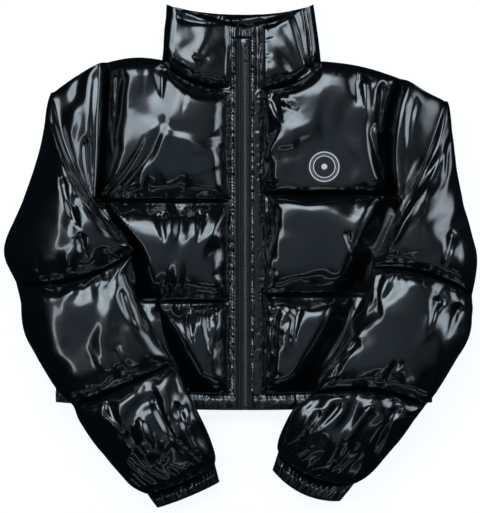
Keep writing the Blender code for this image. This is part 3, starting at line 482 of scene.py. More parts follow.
def inflate(points, held, growth, pressure, frames, cap):
    """How a grid of cloth moves as its filling puffs it up.

    Blender's cloth runs on every second row and column, with air under it and a larger cut than its place,
    and the movement is evened out and spread over the rows between. held is 1 where the cloth is sewn
    down. No point moves further than cap.
    """
    if frames == 0:
        return np.zeros(points.shape)
    coarse, sewn = points[::2, ::2], held[::2, ::2].ravel()
    rows, columns = coarse.shape[:2]
    index = np.arange(rows * columns).reshape(rows, columns)
    mesh = bpy.data.meshes.new("puffing")
    mesh.from_pydata((coarse.reshape(-1, 3) * MM).tolist(), [], grid_faces(index).tolist())
    if mesh.polygons[len(mesh.polygons) // 2].normal.z < 0:
        mesh.flip_normals()
    cloth = bpy.data.objects.new("puffing", mesh)
    scene = bpy.context.scene
    scene.collection.objects.link(cloth)
    cloth.vertex_groups.new(name="sewn").add(np.flatnonzero(sewn > 0.5).tolist(), 1.0, "REPLACE")
    puff = cloth.modifiers.new("Puff", "CLOTH")
    cut = puff.settings
    cut.quality = 5
    cut.mass = 0.12
    cut.air_damping = 4.0
    cut.tension_stiffness = cut.compression_stiffness = 25.0
    cut.shear_stiffness = 6.0
    cut.bending_stiffness = 0.05
    cut.tension_damping = cut.compression_damping = cut.shear_damping = 8.0
    cut.vertex_group_mass = "sewn"
    cut.shrink_min = -growth
    cut.use_pressure = True
    cut.uniform_pressure_force = pressure
    cut.effector_weights.gravity = 0.0
    puff.collision_settings.use_collision = False
    puff.collision_settings.use_self_collision = False
    puff.point_cache.frame_start, puff.point_cache.frame_end = 1, frames
    for number in range(1, frames + 1):
        scene.frame_set(number)
    done = cloth.evaluated_get(bpy.context.evaluated_depsgraph_get()).to_mesh()
    moved = np.zeros(rows * columns * 3)
    done.vertices.foreach_get("co", moved)
    scene.frame_set(1)
    bpy.data.objects.remove(cloth)
    bpy.data.meshes.remove(mesh)
    step = moved.reshape(rows, columns, 3) / MM - coarse
    for axis in (0, 1):
        line = np.moveaxis(step, axis, 0)
        line[1:-1] = (line[:-2] + 2 * line[1:-1] + line[2:]) / 4
    far = np.linalg.norm(step, axis=2, keepdims=True)
    return refine(step * np.tanh(far / cap) * cap / np.maximum(far, 1e-9))


def closed_wall(points, inside_z):
    """Points and faces of a padded wall: the outer grid, a rim down to its inner face, and that face."""
    rows, columns = points.shape[:2]
    index = np.arange(rows * columns).reshape(rows, columns)
    border = np.concatenate([index[0, :-1], index[:-1, -1], index[-1, :0:-1], index[:0:-1, 0]])
    outer = points.reshape(-1, 3)
    inner = outer[border].copy()
    inner[:, 2] = inside_z
    first, count = len(outer), len(border)
    ring = np.stack([border, np.arange(first, first + count)])
    rim = grid_faces(ring, around=True)
    return np.vstack([outer, inner]), [*grid_faces(index), *rim, tuple(range(first, first + count))]


# ---------------------------------------------------------------- body


def neckline(x, centre_y=NECK_Y):
    """The collar seam: low at the zip, curving up to each neck point by a power of the way there."""
    right, left = BODY["R"]["neck_point"], BODY["L"]["neck_point"]
    reach = np.where(x < ZIP_X, ZIP_X - right[0], left[0] - ZIP_X)
    top = np.where(x < ZIP_X, right[1], left[1])
    return centre_y + (top - centre_y) * np.clip(abs(x - ZIP_X) / reach, 0, 1) ** NECK_POWER


def top_edge(x, centre_y=NECK_Y):
    """The upper edge of the body: the neckline between the neck points, an arched shoulder outside them."""
    y = neckline(x, centre_y)
    for half in BODY.values():
        (x0, y0), (x1, y1) = half["neck_point"], half["shoulder"]
        t = (x - x0) / (x1 - x0)
        y = np.where(t > 0, mix(y0, y1, t) + SHOULDER_RISE * np.sin(math.pi * np.clip(t, 0, 1)), y)
    return y


def outer_x(half, y):
    """The body's side: bowed down the armhole, then straight to the underarm and down to the hem."""
    corners = [half[k] for k in ("shoulder", "armhole_end", "underarm", "hem_corner")]
    shoulder, armhole, underarm, hem = corners
    t = (shoulder[1] - y) / (shoulder[1] - armhole[1])
    down = np.clip(t, 0, 1)
    seam = mix(shoulder[0], armhole[0], down) + 4 * down * (1 - down) * half["side"] * half["armhole_bow"]
    below = np.interp(y, (hem[1], underarm[1], armhole[1]), (hem[0], underarm[0], armhole[0]))
    x = np.where(t < 1, seam, below)
    overlap = ARMHOLE_OVERLAP + ARMHOLE_END_OVERLAP * np.exp(-(((y - armhole[1] - 4) / 7) ** 2))
    return x + half["side"] * overlap * smooth((shoulder[1] - y) / 4) * smooth((y - underarm[1] + 16) / 16)


def hem_line(x, at_corner):
    """The hem, lowest at the zip: a parabola between its corners."""
    half_width = 0.5 * (BODY["L"]["hem_corner"][0] - BODY["R"]["hem_corner"][0])
    return at_corner - HEM_SAG * np.clip(1 - ((x - ZIP_X) / half_width) ** 2, 0, 1)


def drape(x, y, reach):
    """1 over the body, falling to 0 at that reach outside its side seams and hem."""
    edges = []
    for half in BODY.values():
        xs, ys = zip(*[half[k] for k in ("hem_corner", "underarm", "armhole_end", "shoulder")])
        edges.append(sum(np.interp(y + off, ys, xs) for off in (-42, -28, -14, 0, 14, 28, 42)) / 7)
    side = np.maximum(edges[0] - x, x - edges[1])
    below = hem_line(x, BODY["R"]["hem_corner"][1]) - y
    beyond = np.hypot(np.maximum(side, 0), np.maximum(below, 0))
    under_arm = smooth((DRAPE_FROM - y) / (DRAPE_FROM - DRAPE_BY))
    return smooth(1 - beyond / reach) * mix(1.0, under_arm, smooth((side + 40) / 60))


def pressed_share(key, x, y):
    """1 where the folded sleeve covers the front, 0 where the front shows."""
    ys, xs = zip(*SHADE[key][::-1])
    edge = sum(np.interp(y + off, ys, xs) for off in (-24, -16, -8, 0, 8, 16, 24)) / 7
    inside = BODY[key]["side"] * (x - edge)
    lead = mix(SHADE_LEAD_TOP[key], SHADE_LEAD[key], smooth((60 - y) / 110))
    return smooth((inside + lead) / (lead - 2)) * smooth((y - 96) / -14)


def chamber_rows(lengths, step, crowd=0.35):
    """Which chamber each row is in and its share of the way down it, with a row on every seam."""
    rows = [(0, 0.0)]
    for number, length in enumerate(lengths):
        rows += [(number, t) for t in spaced(2 * round(length / step / 2), crowd)[1:]]
    return np.array([r[0] for r in rows]), np.array([r[1] for r in rows])


def body_plan(key, chamber, share, columns, levels, centre_y, inner_x):
    """X and Y of a grid that fills half the body from its upper edge to the hem seam."""
    half = BODY[key]
    starts = np.array((half["shoulder"][1], *levels[:2]))[chamber]
    ends = np.array(levels)[chamber]
    reach = outer_x(half, mix(starts, ends, share))
    x = mix(inner_x, reach[:, None], columns[None, :])
    start = np.where(chamber[:, None] == 0, top_edge(x, centre_y), starts[:, None])
    end = np.where(chamber[:, None] == 2, hem_line(x, HEM_SEAM_Y + HEM_SAG), ends[:, None])
    return x, mix(start, end, share[:, None])


# Long folds on each front: start, end, width, depth (below 0 for a ridge), bend
FRONT_FOLDS = {
    "R": (
        ((-118, 288), (-117, 236), 7, 7, 0.0),
        ((-209, 88), (-142, 180), 5, 8, 0.05),
        ((-206, 86), (-146, 164), 4, -4, 0.05),
        ((-198, 84), (-134, 156), 5, 7, 0.04),
        ((-178, 285), (-192, 160), 8, 7, 0.04),
        ((-118, 70), (-112, 20), 7, 6, 0.05),
        ((-60, 72), (-66, 20), 6, 6, -0.05),
        ((-120, -80), (-108, -150), 6, 6, 0.0),
        ((-74, -76), (-66, -140), 6, 6, 0.08),
        ((-50, -72), (-40, -150), 5, 6, 0.05),
    ),
    "L": (
        ((50, 250), (66, 200), 6, 6, 0.08),
        ((186, 268), (190, 205), 6, -5, 0.0),
        ((214, 262), (210, 180), 7, 7, 0.0),
        ((206, 200), (229, 108), 5, -6, 0.05),
        ((218, 190), (233, 104), 5, 7, 0.03),
        ((40, 150), (30, 110), 6, 6, 0.0),
        ((54, 78), (50, 20), 6, 5, 0.05),
        ((160, 40), (172, 0), 5, 5, 0.05),
        ((58, -76), (50, -150), 5, 6, 0.05),
        ((92, -74), (80, -140), 6, 6, 0.05),
    ),
}

# Places where each front tips towards the collar
FRONT_TIPS = {
    "R": (
        ((-120, 218), 60, 26, 80, 0.22),
        ((-174, 240), 44, 24, 80, -0.13),
        ((-86, 180), 40, 12, -30, 0.20),
        ((-140, 138), 45, 8, 70, 0.28),
        ((-88, 50), 42, 34, 0, 0.26),
        ((-92, 5), 60, 9, 85, 0.28),
        ((-42, 45), 35, 10, 70, 0.26),
        ((-92, -98), 36, 16, 90, 0.26),
    ),
    "L": (
        ((58, 200), 46, 36, 0, 0.28),
        ((44, 172), 42, 9, 75, 0.28),
        ((40, 5), 80, 7, 90, 0.28),
        ((78, -98), 30, 7, 75, 0.26),
        ((42, -110), 46, 6, 85, 0.26),
    ),
}

# Puckers along each edge of each front's chambers, beside the zip and at the side: pitch, reach, depth
FRONT_PUCKERS = {
    "R": {
        "top_1": ((34, 80, 2.5), (15, 28, 2.5)),
        "bottom_1": ((12, 24, 4.0), (36, 45, 1.5)),
        "top_2": ((14, 22, 3.0), (40, 60, 2.0)),
        "bottom_2": ((12, 30, 4.5), (34, 50, 2.0)),
        "top_3": ((13, 42, 4.5), (30, 80, 3.0)),
        "bottom_3": ((12, 26, 3.5), (36, 50, 2.0)),
        "zip": ((34, 60, 3.4), (9, 9, 1.4)),
        "side": ((26, 45, 3.0), (12, 22, 2.5)),
    },
    "L": {
        "top_1": ((34, 60, 2.5), (15, 26, 2.5)),
        "bottom_1": ((14, 12, 1.6), (50, 36, 1.2)),
        "top_2": ((20, 14, 1.5), (60, 40, 0.6)),
        "bottom_2": ((15, 18, 2.0), (52, 50, 1.5)),
        "top_3": ((14, 26, 2.5), (40, 70, 2.5)),
        "bottom_3": ((12, 26, 3.0), (38, 55, 2.0)),
        "zip": ((30, 60, 4.0), (9, 10, 1.6)),
        "side": ((26, 45, 3.0), (12, 22, 2.5)),
    },
}


def front_puckers(key, x, y, off, row_chamber):
    """The small dents of a front, below 0: along both edges of each chamber, beside the zip and the side."""
    side = BODY[key]["side"]
    relief = np.zeros(x.shape)
    for number in range(3):
        here = row_chamber == number
        for edge in ("top", "bottom"):
            for layer, (pitch, reach, deep) in enumerate(FRONT_PUCKERS[key][f"{edge}_{number + 1}"]):
                seed = 1000 + 100 * number + 10 * layer + 5 * side + len(edge)
                relief = relief - here * deep * petals(x, off[edge], pitch, reach, seed, 0.5)
    off_piping = np.maximum(off["zip"] - PIPING_WIDTH, 0)
    for layer, (pitch, reach, deep) in enumerate(FRONT_PUCKERS[key]["zip"]):
        dents = petals(y + 0.45 * off_piping, off_piping, pitch, reach, 31 + side + 4 * layer, 0.5)
        relief = relief - deep * dents * (off["zip"] > PIPING_WIDTH)
    for layer, (pitch, reach, deep) in enumerate(FRONT_PUCKERS[key]["side"]):
        at_side = deep * (1 - 0.7 * smooth((y - BODY[key]["armhole_end"][1]) / 20))
        relief = relief - at_side * petals(y, off["side"], pitch, reach, 61 + side + 4 * layer, 0.5)
    return relief


def front_points(key, step, puckers):
    """The outer surface of a front: domed chambers between the seams, less its folds and puckers."""
    half = BODY[key]
    side = half["side"]
    levels = (*half["quilt_y"], HEM_SEAM_Y)
    lengths = (half["shoulder"][1] - levels[0], levels[0] - levels[1], levels[1] - levels[2])
    chamber, share = chamber_rows(lengths, step)
    inner_x = ZIP_X + side * ZIP_GAP / 2
    width = abs(half["underarm"][0] - inner_x)
    piping = np.linspace(0, PIPING_WIDTH, PIPING_COLUMNS)
    cloth = np.linspace(PIPING_WIDTH, width, 2 * round((width - PIPING_WIDTH) / step / 2) + 1)[1:]
    x, y = body_plan(key, chamber, share, np.concatenate([piping, cloth]) / width, levels, NECK_Y, inner_x)

    row_chamber = chamber[:, None]
    starts = np.array((0.0, *levels[:2]))[row_chamber]
    top = np.where(row_chamber == 0, top_edge(x), starts)
    bottom = np.where(row_chamber == 2, hem_line(x, HEM_SEAM_Y + HEM_SAG), np.array(levels)[row_chamber])
    full, above, below = np.moveaxis(np.array(FRONT_CHAMBERS[key])[row_chamber], -1, 0)
    full = full * (1 - CROWN[key] * (1 - np.sin(math.pi * share[:, None])))
    from_top, from_bottom = np.abs(top - y), np.abs(y - bottom)
    from_zip = np.abs(x - ZIP_X) - ZIP_GAP / 2
    from_side = np.abs(outer_x(half, y) - x)
    swell = dome(from_top / above) * dome(from_bottom / below) * dome(from_side / SIDE_ROUNDING)
    swell = swell * dome((from_zip - PIPING_WIDTH) / ZIP_ROUNDING)
    base = mix(QUILT_THICK, EDGE_THICK, np.exp(-from_side / 6))
    thick = base + (full - QUILT_THICK) * swell

    broad = 1.3 * swells(x, y, 11 + side) + tipped(x, y, FRONT_TIPS[key], 17 + 2 * side)
    for fold in FRONT_FOLDS[key]:
        broad = broad - fold[3] * crease(x, y, *fold[:3], fold[4])
    off = {"top": from_top, "bottom": from_bottom, "zip": from_zip, "side": from_side}
    relief = front_puckers(key, x, y, off, row_chamber)
    off_piping = np.maximum(from_zip - PIPING_WIDTH, 0)
    near = np.minimum.reduce([from_top, from_bottom, from_side, off_piping])
    relief = puckers * relief * smooth(near / PUCKER_START)
    thick = thick + puckers * broad * smooth(near / FOLD_START)
    on_piping = 1.8 * petals(y, np.maximum(PIPING_WIDTH - from_zip, 0), 7, 14, 43 + side, 0.8)
    relief = relief - on_piping * (from_zip < PIPING_WIDTH)
    lip = np.minimum(from_top, from_bottom)
    gathers = 0.6 + 0.6 * petals(x, 0 * x, 7, 30, 81 + side, 0) + 0.3 * wander(x / 30, 82 + side)
    relief = relief + 1.3 * gathers * np.exp(-(((lip - 2.2) / 1.3) ** 2)) * (from_zip > PIPING_WIDTH)

    if key == "L":
        r = np.hypot(x - BADGE_X, y - BADGE_Y)
        flat = smooth((BADGE_FLAT + BADGE_BLEND - r) / BADGE_BLEND)
        flat = flat * smooth(from_bottom / 14) * (row_chamber == 0)
        thick = mix(thick, FRONT_CHAMBERS[key][0][0], flat)
        relief = relief * (1 - flat)
    held = np.zeros(x.shape)
    seams = np.flatnonzero(np.diff(chamber, prepend=0)) - 1
    held[[0, -1, *seams]] = 1
    held[:, :PIPING_COLUMNS] = 1
    held[:, -1] = 1
    if key == "L":
        held = np.maximum(held, r < BADGE_FLAT + 4)
    return np.dstack([x, y, FRONT_INSIDE + thick]), held, relief


def front_surface(key, look):
    """The outer surface of a front, puffed up, with its puckers, pressed down where a sleeve lies on it."""
    points, held, relief = front_points(key, look.step, look.puckers)
    points = points + inflate(points, held, look.growth, look.pressure, look.frames, look.cap)
    points[..., 2] += relief
    x, y, z = np.moveaxis(points, -1, 0)
    low = FRONT_INSIDE + (z - FRONT_INSIDE) * (PRESSED_TOP - FRONT_INSIDE) / FRONT_CHAMBERS[key][0][0]
    pressed = mix(z, low, pressed_share(key, x, y))
    points[..., 2] = np.maximum(pressed, FRONT_INSIDE + EDGE_THICK - 1)
    return refine(points)


def back_points(step, puckers):
    """The under surface of the back: flat where the table presses it, rounded up to its edges."""
    starts = (BODY["R"]["shoulder"][1], *BACK_LEVELS[:2])
    lengths = [start - end for start, end in zip(starts, BACK_LEVELS)]
    chamber, share = chamber_rows(lengths, step)
    columns = spaced(round(BACK_ACROSS / step), 0.35)
    halves = [body_plan(k, chamber, share, columns, BACK_LEVELS, BACK_NECK_Y, ZIP_X) for k in ("R", "L")]
    x = np.hstack([halves[0][0][:, :0:-1], halves[1][0]])
    y = np.hstack([halves[0][1][:, :0:-1], halves[1][1]])
    row_chamber = chamber[:, None]
    levels = np.array(BACK_LEVELS)
    top = np.where(row_chamber == 0, top_edge(x, BACK_NECK_Y), levels[np.maximum(row_chamber - 1, 0)])
    near = np.minimum(np.abs(top - y), np.abs(y - levels[row_chamber]))
    from_side = np.minimum(np.abs(outer_x(BODY["R"], y) - x), np.abs(outer_x(BODY["L"], y) - x))
    seam = mix(BACK_QUILT_THICK, EDGE_THICK, np.exp(-from_side / 10))
    thick = seam + (BACK_PUFF - seam) * dome(near / 34) * dome(from_side / SIDE_ROUNDING)
    thick = thick - puckers * 4 * petals(x, near, 15, 40, 71, 0.6) * smooth(near / 8)
    thick = thick - puckers * 4 * petals(y, from_side, 17, 40, 73, 0.6) * smooth(from_side / 8)
    return np.dstack([x, y, BACK_LOFT - np.minimum(thick, BACK_LOFT)])


def hem_points(x_from, x_to, inside_z, outward, loft, seed):
    """The elastic hem: an arch across the band, carried along the hem line and cut by slanting gathers."""
    along = np.linspace(x_from, x_to, int(abs(x_to - x_from) / 1.7))[None, :]
    down = spaced(12, 0.5)[:, None]
    x = along + 0 * down
    top, low = hem_line(x, HEM_SEAM_Y + HEM_SAG), hem_line(x, BODY["R"]["hem_corner"][1])
    y = mix(top, low, down)
    arch = np.sin(math.pi * down) ** 0.55
    folds = petals(x, HEM_DEEP * down, 7.5, 60, seed, 0.9)
    folds = folds + 0.7 * petals(x, HEM_DEEP * (1 - down), 6.2, 46, seed + 5, 0.9)
    folds = folds + 0.5 * petals(x, 0 * x, 4.1, 10, seed + 9, 0.3)
    thick = EDGE_THICK + (loft - EDGE_THICK) * arch - 3.4 * folds * arch**0.5
    row = sum(np.exp(-(((down - place) / 0.05) ** 2)) for place in HEM_ROWS_OF_STITCHES)
    thick = np.maximum(thick - 1.2 * row, 2.0)
    return np.dstack([x, y, inside_z + outward * thick])


# ---------------------------------------------------------------- sleeves and cuffs


def station(name):
    return STATIONS.index(name)


def sleeve_plan(key, s, t):
    """Plan points of the sleeve: s picks the station, t runs from the outer edge to the inner one."""
    table = np.array(list(SLEEVES[key].values()), float)
    outer, inner, bow = table[:, None, 0:2], table[:, None, 2:4], table[:, None, 4:5]
    crowd = np.where(np.arange(len(table)) <= station("cap_low"), CAP_CROWD, 1.0)
    t = (1 - (1 - t[None, :]) ** crowd[:, None])[:, :, None]
    along = inner - outer
    down = -BODY[key]["side"] * along[..., ::-1] * (1, -1) / np.linalg.norm(along, axis=2, keepdims=True)
    return curve_through(outer + along * t + down * 4 * t * (1 - t) * bow, s)


def sleeve_layers(key, s, t):
    """Plan, distances off each seam, and the underside, middle and top of the sleeve there."""
    plan = sleeve_plan(key, s, t)
    x, y = plan[..., 0], plan[..., 1]
    loft = curve_through(np.array([row[-1:] for row in SLEEVES[key].values()], float), s)
    off_seam = {}
    for name in QUILTED_AT:
        seam = sleeve_plan(key, np.full(len(s), float(station(name))), t)
        off_seam[name] = np.linalg.norm(plan - seam, axis=2)
    away = np.minimum.reduce(list(off_seam.values()))
    puff = dome(away / SLEEVE_ROUNDING)
    low = SLEEVE_REST * drape(x, y, DRAPE_BELOW) + SLEEVE_SEAM_RISE * (1 - puff)
    at_armhole = np.clip(1 - s, 0, 1)[:, None]
    low = mix(low, ARMHOLE_UNDERSIDE, smooth(at_armhole))
    rest = SLEEVE_REST * drape(x, y, DRAPE_ABOVE) + SLEEVE_UNDER
    high = rest + SLEEVE_SEAM_LOFT + (loft - SLEEVE_SEAM_LOFT) * puff
    high = mix(high, FRONT_INSIDE + QUILT_THICK, smooth(at_armhole * 1.2 - 0.2))
    middle = mix(mix(low, high, MIDDLE_SHARE), FRONT_INSIDE, smooth(at_armhole))
    return plan, off_seam, low, middle, high


# Long folds on each sleeve: start, end, width, depth, bend
SLEEVE_FOLDS = {
    "R": (
        ((-212, 286), (-216, 150), 8, 6, 0.03),
        ((-228, 180), (-216, 84), 5, 7, 0.05),
        ((-262, 120), (-236, 40), 6, 6, 0.06),
        ((-214, 92), (-180, 24), 6, 7, 0.05),
        ((-236, 36), (-222, -12), 6, 6, 0.06),
        ((-176, -46), (-150, -110), 6, 6, 0.05),
        ((-186, -124), (-156, -168), 5, 3, 0.05),
        ((-228, -244), (-190, -300), 6, 7, 0.06),
        ((-196, -214), (-168, -262), 6, 7, 0.04),
        ((-166, -250), (-106, -326), 7, 8, 0.08),
        ((-150, -236), (-92, -316), 6, -6, 0.10),
        ((-128, -200), (-84, -290), 7, 8, 0.06),
        ((-96, -214), (-62, -300), 6, 7, 0.0),
    ),
    "L": (
        ((262, 240), (252, 160), 7, 5, 0.04),
        ((316, 180), (308, 120), 5, 4, 0.05),
        ((236, 70), (214, 16), 6, 7, 0.05),
        ((222, 60), (206, 10), 5, -5, 0.0),
        ((318, 40), (300, -20), 6, 6, 0.0),
        ((212, -24), (208, -90), 6, 6, 0.1),
        ((300, -60), (276, -116), 6, 7, 0.05),
        ((326, -70), (306, -120), 6, 6, 0.0),
        ((176, -120), (140, -176), 6, 7, 0.05),
        ((238, -150), (206, -196), 6, 6, 0.0),
        ((240, -222), (196, -300), 7, 8, 0.05),
        ((150, -214), (104, -262), 6, 7, -0.05),
        ((196, -220), (150, -300), 6, -6, 0.04),
        ((120, -226), (84, -280), 6, 7, 0.0),
    ),
}

# Places where each sleeve tips towards the collar
SLEEVE_TIPS = {
    "R": (
        ((-246, 228), 40, 11, 80, 0.30),
        ((-222, 160), 64, 22, 85, -0.13),
        ((-250, 24), 55, 11, 85, 0.30),
        ((-202, -76), 60, 12, 88, 0.24),
        ((-196, -136), 56, 40, 20, 0.26),
        ((-177, -214), 36, 13, 80, 0.34),
        ((-146, -238), 52, 14, 75, 0.36),
        ((-104, -262), 44, 12, 62, 0.36),
    ),
    "L": (
        ((288, 196), 60, 34, 100, -0.13),
        ((258, 85), 70, 10, 62, 0.30),
        ((337, 38), 50, 16, 80, 0.30),
        ((206, -30), 35, 9, 95, 0.28),
        ((186, -100), 55, 9, 54, 0.30),
        ((288, -78), 35, 8, 65, 0.30),
        ((117, -218), 32, 10, 60, 0.36),
        ((225, -234), 38, 10, 80, 0.40),
        ((150, -262), 46, 10, 64, 0.40),
    ),
}

# Along each sleeve's fold: how far off it a ridge is, its width and height, and the depth of the notch
FOLD_LINE = {"R": (6.0, 4.0, 4.4, 3.0), "L": (23.0, 9.0, 3.6, 2.4)}

# Puckers off each quilted seam of a sleeve: pitch, reach, depth
SLEEVE_PUCKERS = ((40, 90, 2.6), (14, 30, 3.6), (8, 14, 2.2))


def sleeve_points(key, step, puckers):
    """The upper surface of the sleeve, rows down it and columns across it, and where it is sewn."""
    side = BODY[key]["side"]
    lines = sleeve_plan(key, np.arange(len(STATIONS), dtype=float), np.array((0.15, 0.5)))
    lengths = np.linalg.norm(np.diff(lines, axis=0), axis=2).max(1)
    counts = 2 * np.maximum(np.round(lengths / step / 2), 1).astype(int)
    runs = [np.linspace(k, k + 1, count + 1)[:-1] for k, count in enumerate(counts)]
    s = np.concatenate([*runs, [len(counts)]])
    angle = np.linspace(0, math.pi, 2 * round(SLEEVE_ACROSS / step) + 1)
    t = (1 - np.cos(angle)) / 2
    plan, off_seam, _, middle, high = sleeve_layers(key, s, t)
    x, y = plan[..., 0], plan[..., 1]
    rise = np.sin(angle)[None, :]
    width = np.linalg.norm(plan[:, -1] - plan[:, 0], axis=1)[:, None]
    across = t[None, :] * width
    past = smooth(s - station("valley"))[:, None]
    z = mix(middle, high, np.maximum(rise, 0) ** mix(0.14, 0.5, past))

    broad = 1.3 * swells(x, y, 24 + side) + tipped(x, y, SLEEVE_TIPS[key], 27 + 2 * side)
    for fold in SLEEVE_FOLDS[key]:
        broad = broad - fold[3] * crease(x, y, *fold[:3], fold[4])
    relief = np.zeros(x.shape)
    for number, name in enumerate(QUILTED_AT):
        before = (s < station(name))[:, None]
        for side_of, part in enumerate((before, ~before)):
            if name == "cuff_seam":
                relief = relief - part * 4.0 * petals(across, off_seam[name], 17, 80, 340 + side, 0.4)
            seed = 300 + 60 * side + 9 * number + 4 * side_of
            for layer, (pitch, reach, deep) in enumerate(SLEEVE_PUCKERS):
                deep = deep * (0.35 if name == "armhole" else 1.0)
                dents = petals(across, off_seam[name], pitch, reach, seed + 200 * layer, 0.5)
                relief = relief - part * deep * dents
    near = np.minimum.reduce(list(off_seam.values()))
    share = puckers * np.maximum(rise, 0) ** 0.5
    z = z + broad * share * smooth(near / FOLD_START)
    fold_line = sleeve_plan(key, np.full(len(s), float(station("crease"))), t)
    off_fold = np.linalg.norm(plan - fold_line, axis=2) * np.sign(s - station("crease"))[:, None]
    ridge_at, ridge_width, ridge, notch = FOLD_LINE[key]
    pleat = ridge * np.exp(-(((off_fold - ridge_at) / ridge_width) ** 2))
    pleat = pleat - notch * np.exp(-(((off_fold + 3) / 2.6) ** 2))
    pleat = pleat * (0.75 + 0.35 * wander(across / 60, 350 + side))
    relief = relief * smooth((np.abs(off_fold) - 8) / 10) * mix(CAP_CALM, 1.0, past)
    relief = (relief + pleat) * share * smooth(near / PUCKER_START)

    held = np.zeros(x.shape)
    for name in QUILTED_AT:
        held[np.argmin(np.abs(s - station(name)))] = 1
    held[:, [0, -1]] = 1
    return s, np.dstack([x, y, z]), held, relief


def sleeve_underside(key, s, count=14):
    """The lower surface, from the inner edge of the upper one back to its outer edge."""
    angle = np.linspace(0, math.pi, count + 1)[1:-1]
    plan, _, low, middle, _ = sleeve_layers(key, s, (1 + np.cos(angle)) / 2)
    z = mix(middle, low, np.minimum(1.35 * np.sin(angle)[None, :] ** 0.55, 1.0))
    return np.dstack([plan, np.maximum(z, 0.0)])


def closed_tube(rings):
    """Points and faces of a tube of rings, with each end closed by a fan to its middle."""
    rows, around = rings.shape[:2]
    index = np.arange(rows * around).reshape(rows, around)
    points = np.vstack([rings.reshape(-1, 3), rings[0].mean(0), rings[-1].mean(0)])
    faces = list(grid_faces(index, around=True))
    for ring, middle in ((index[0], rows * around), (index[-1], rows * around + 1)):
        faces += [(a, b, middle) for a, b in zip(ring, np.roll(ring, -1))]
    return points, faces


def cuff_plan(key, along, angle, share):
    """Plan points of the cuff: a ring pressed flat between its two edges, bowed like the sleeve's end."""
    seam = np.array(SLEEVES[key]["cuff_seam"][:5], float)
    end, end_bow = CUFF_END[key]
    edges = mix(seam[:4], np.array(end, float), along[:, None])
    bows = mix(seam[4], end_bow, along)[:, None]
    t = 0.5 - 0.5 * share * np.cos(angle)[None, :] + 0 * along[:, None]
    chord = edges[:, 2:4] - edges[:, 0:2]
    plan = edges[:, None, 0:2] + chord[:, None] * t[:, :, None]
    down = -BODY[key]["side"] * np.stack([chord[:, 1], -chord[:, 0]], axis=1)
    down /= np.linalg.norm(down, axis=1)[:, None]
    return plan + down[:, None] * (4 * t * (1 - t) * bows)[:, :, None]


def cuff_rings(key):
    """The elastic cuff: out along its gathered outside, round its end, and back in along its plain inside."""
    angle = np.linspace(0, 2 * math.pi, 361)[:-1]
    along = np.concatenate([np.linspace(-0.12, 0.92, 18), [0.98, 1.0]])
    rise = np.abs(np.sin(angle))[None, :]
    upper = np.sin(angle)[None, :] >= 0
    arch = np.interp(along, *zip(*CUFF_ARCH))[:, None]
    top = CUFF_TOP * arch + 2
    middle = 0.45 * top
    z = np.where(upper, mix(middle, top, rise**0.7), mix(middle, 0, np.minimum(1.3 * rise**0.6, 1)))
    plan = cuff_plan(key, along, angle, 1.0)
    round_it = angle[None, :] / (2 * math.pi) * CUFF_ROUND
    depth = CUFF_LONG * along[:, None]
    seed = 500 + BODY[key]["side"]
    wave = round_it / 6.0 + 0.45 * wander(round_it / 22, seed)
    wave = wave + 0.35 * wander(round_it / 40 + depth / 26, seed + 1)
    folds = 1 - np.abs(np.sin(math.pi * wave)) ** 0.8
    folds = folds * (0.55 + 0.45 * wander(round_it / 13, seed + 2))
    folds = folds + 0.6 * petals(round_it, CUFF_LONG - depth, 9, 60, seed + 3, 0.5)
    z = np.maximum(z - 4.8 * folds * np.where(upper, 1, 0.4) * smooth(rise * 4), 0)
    outside = np.dstack([plan, z])
    back_in = np.linspace(1.0, 0.45, 5)
    inner_plan = cuff_plan(key, back_in, angle, 0.88)
    hole = np.sign(np.sin(angle))[None, :] * 2.2 * rise**0.4
    inner_z = 0.45 * (CUFF_TOP * 0.8 + 2) + hole * np.linspace(1.0, 0.5, 5)[:, None]
    return np.concatenate([outside, np.dstack([inner_plan, inner_z])])


# ---------------------------------------------------------------- collar


# Long folds on the front of the collar, and places where it tips towards its top edge
COLLAR_FOLDS = {
    "R": (
        ((-70, 300), (-46, 296), 4, 2.5, 0.0),
        ((-96, 362), (-30, 350), 6, 4, 0.05),
    ),
    "L": (
        ((30, 326), (64, 330), 1.6, 1.2, 0.03),
        ((34, 301), (60, 303), 1.6, 1.2, 0.0),
        ((32, 348), (84, 368), 5, 5, 0.05),
    ),
}
COLLAR_TIPS = {
    "R": (((-70, 310), 50, 14, 92, 0.10),),
    "L": (((46, 306), 50, 16, 88, 0.08),),
}


def collar_edges(front, x):
    """The seam and the top edge of the collar at x, on its front or on its back."""
    reach = np.where(x < ZIP_X, ZIP_X - COLLAR_SIDE["R"][1], COLLAR_SIDE["L"][1] - ZIP_X)
    out = np.clip(abs(x - ZIP_X) / reach, 0, 1)
    if front:
        return neckline(x) + 0.2, mix(ZIP_TOP, COLLAR_TIP, out**COLLAR_FRONT_POWER)
    return neckline(x, BACK_NECK_Y) - 2.0, mix(COLLAR_TOP_BACK, COLLAR_TIP, out**COLLAR_BACK_POWER)


def collar_relief(key, x, y, v, low, high):
    """How far the front of the collar dips: puckers off its seam, top edge and zip, and long folds."""
    side = BODY[key]["side"]
    height, left = v * (high - low), (1 - v) * (high - low)
    from_zip = abs(x - ZIP_X) - ZIP_GAP / 2
    dip = 2.8 * petals(x, height, 11, 20, 601 + side, 0.6)
    dip = dip + 1.2 * petals(x, height, 34, 40, 611 + side, 0.5)
    dip = dip + 1.0 * petals(x, left, 11, 10, 625 + side, 0.3)
    dip = dip + 1.2 * petals(y, from_zip, 20, 40, 631 + side, 0.3)
    dip = dip - 0.7 * swells(x, y, 641 + side, 90) - tipped(x, y, COLLAR_TIPS[key], 645 + side)
    for fold in COLLAR_FOLDS[key]:
        dip = dip + fold[3] * crease(x, y, *fold[:3], fold[4])
    return dip * smooth(np.minimum(height, from_zip) / 8)


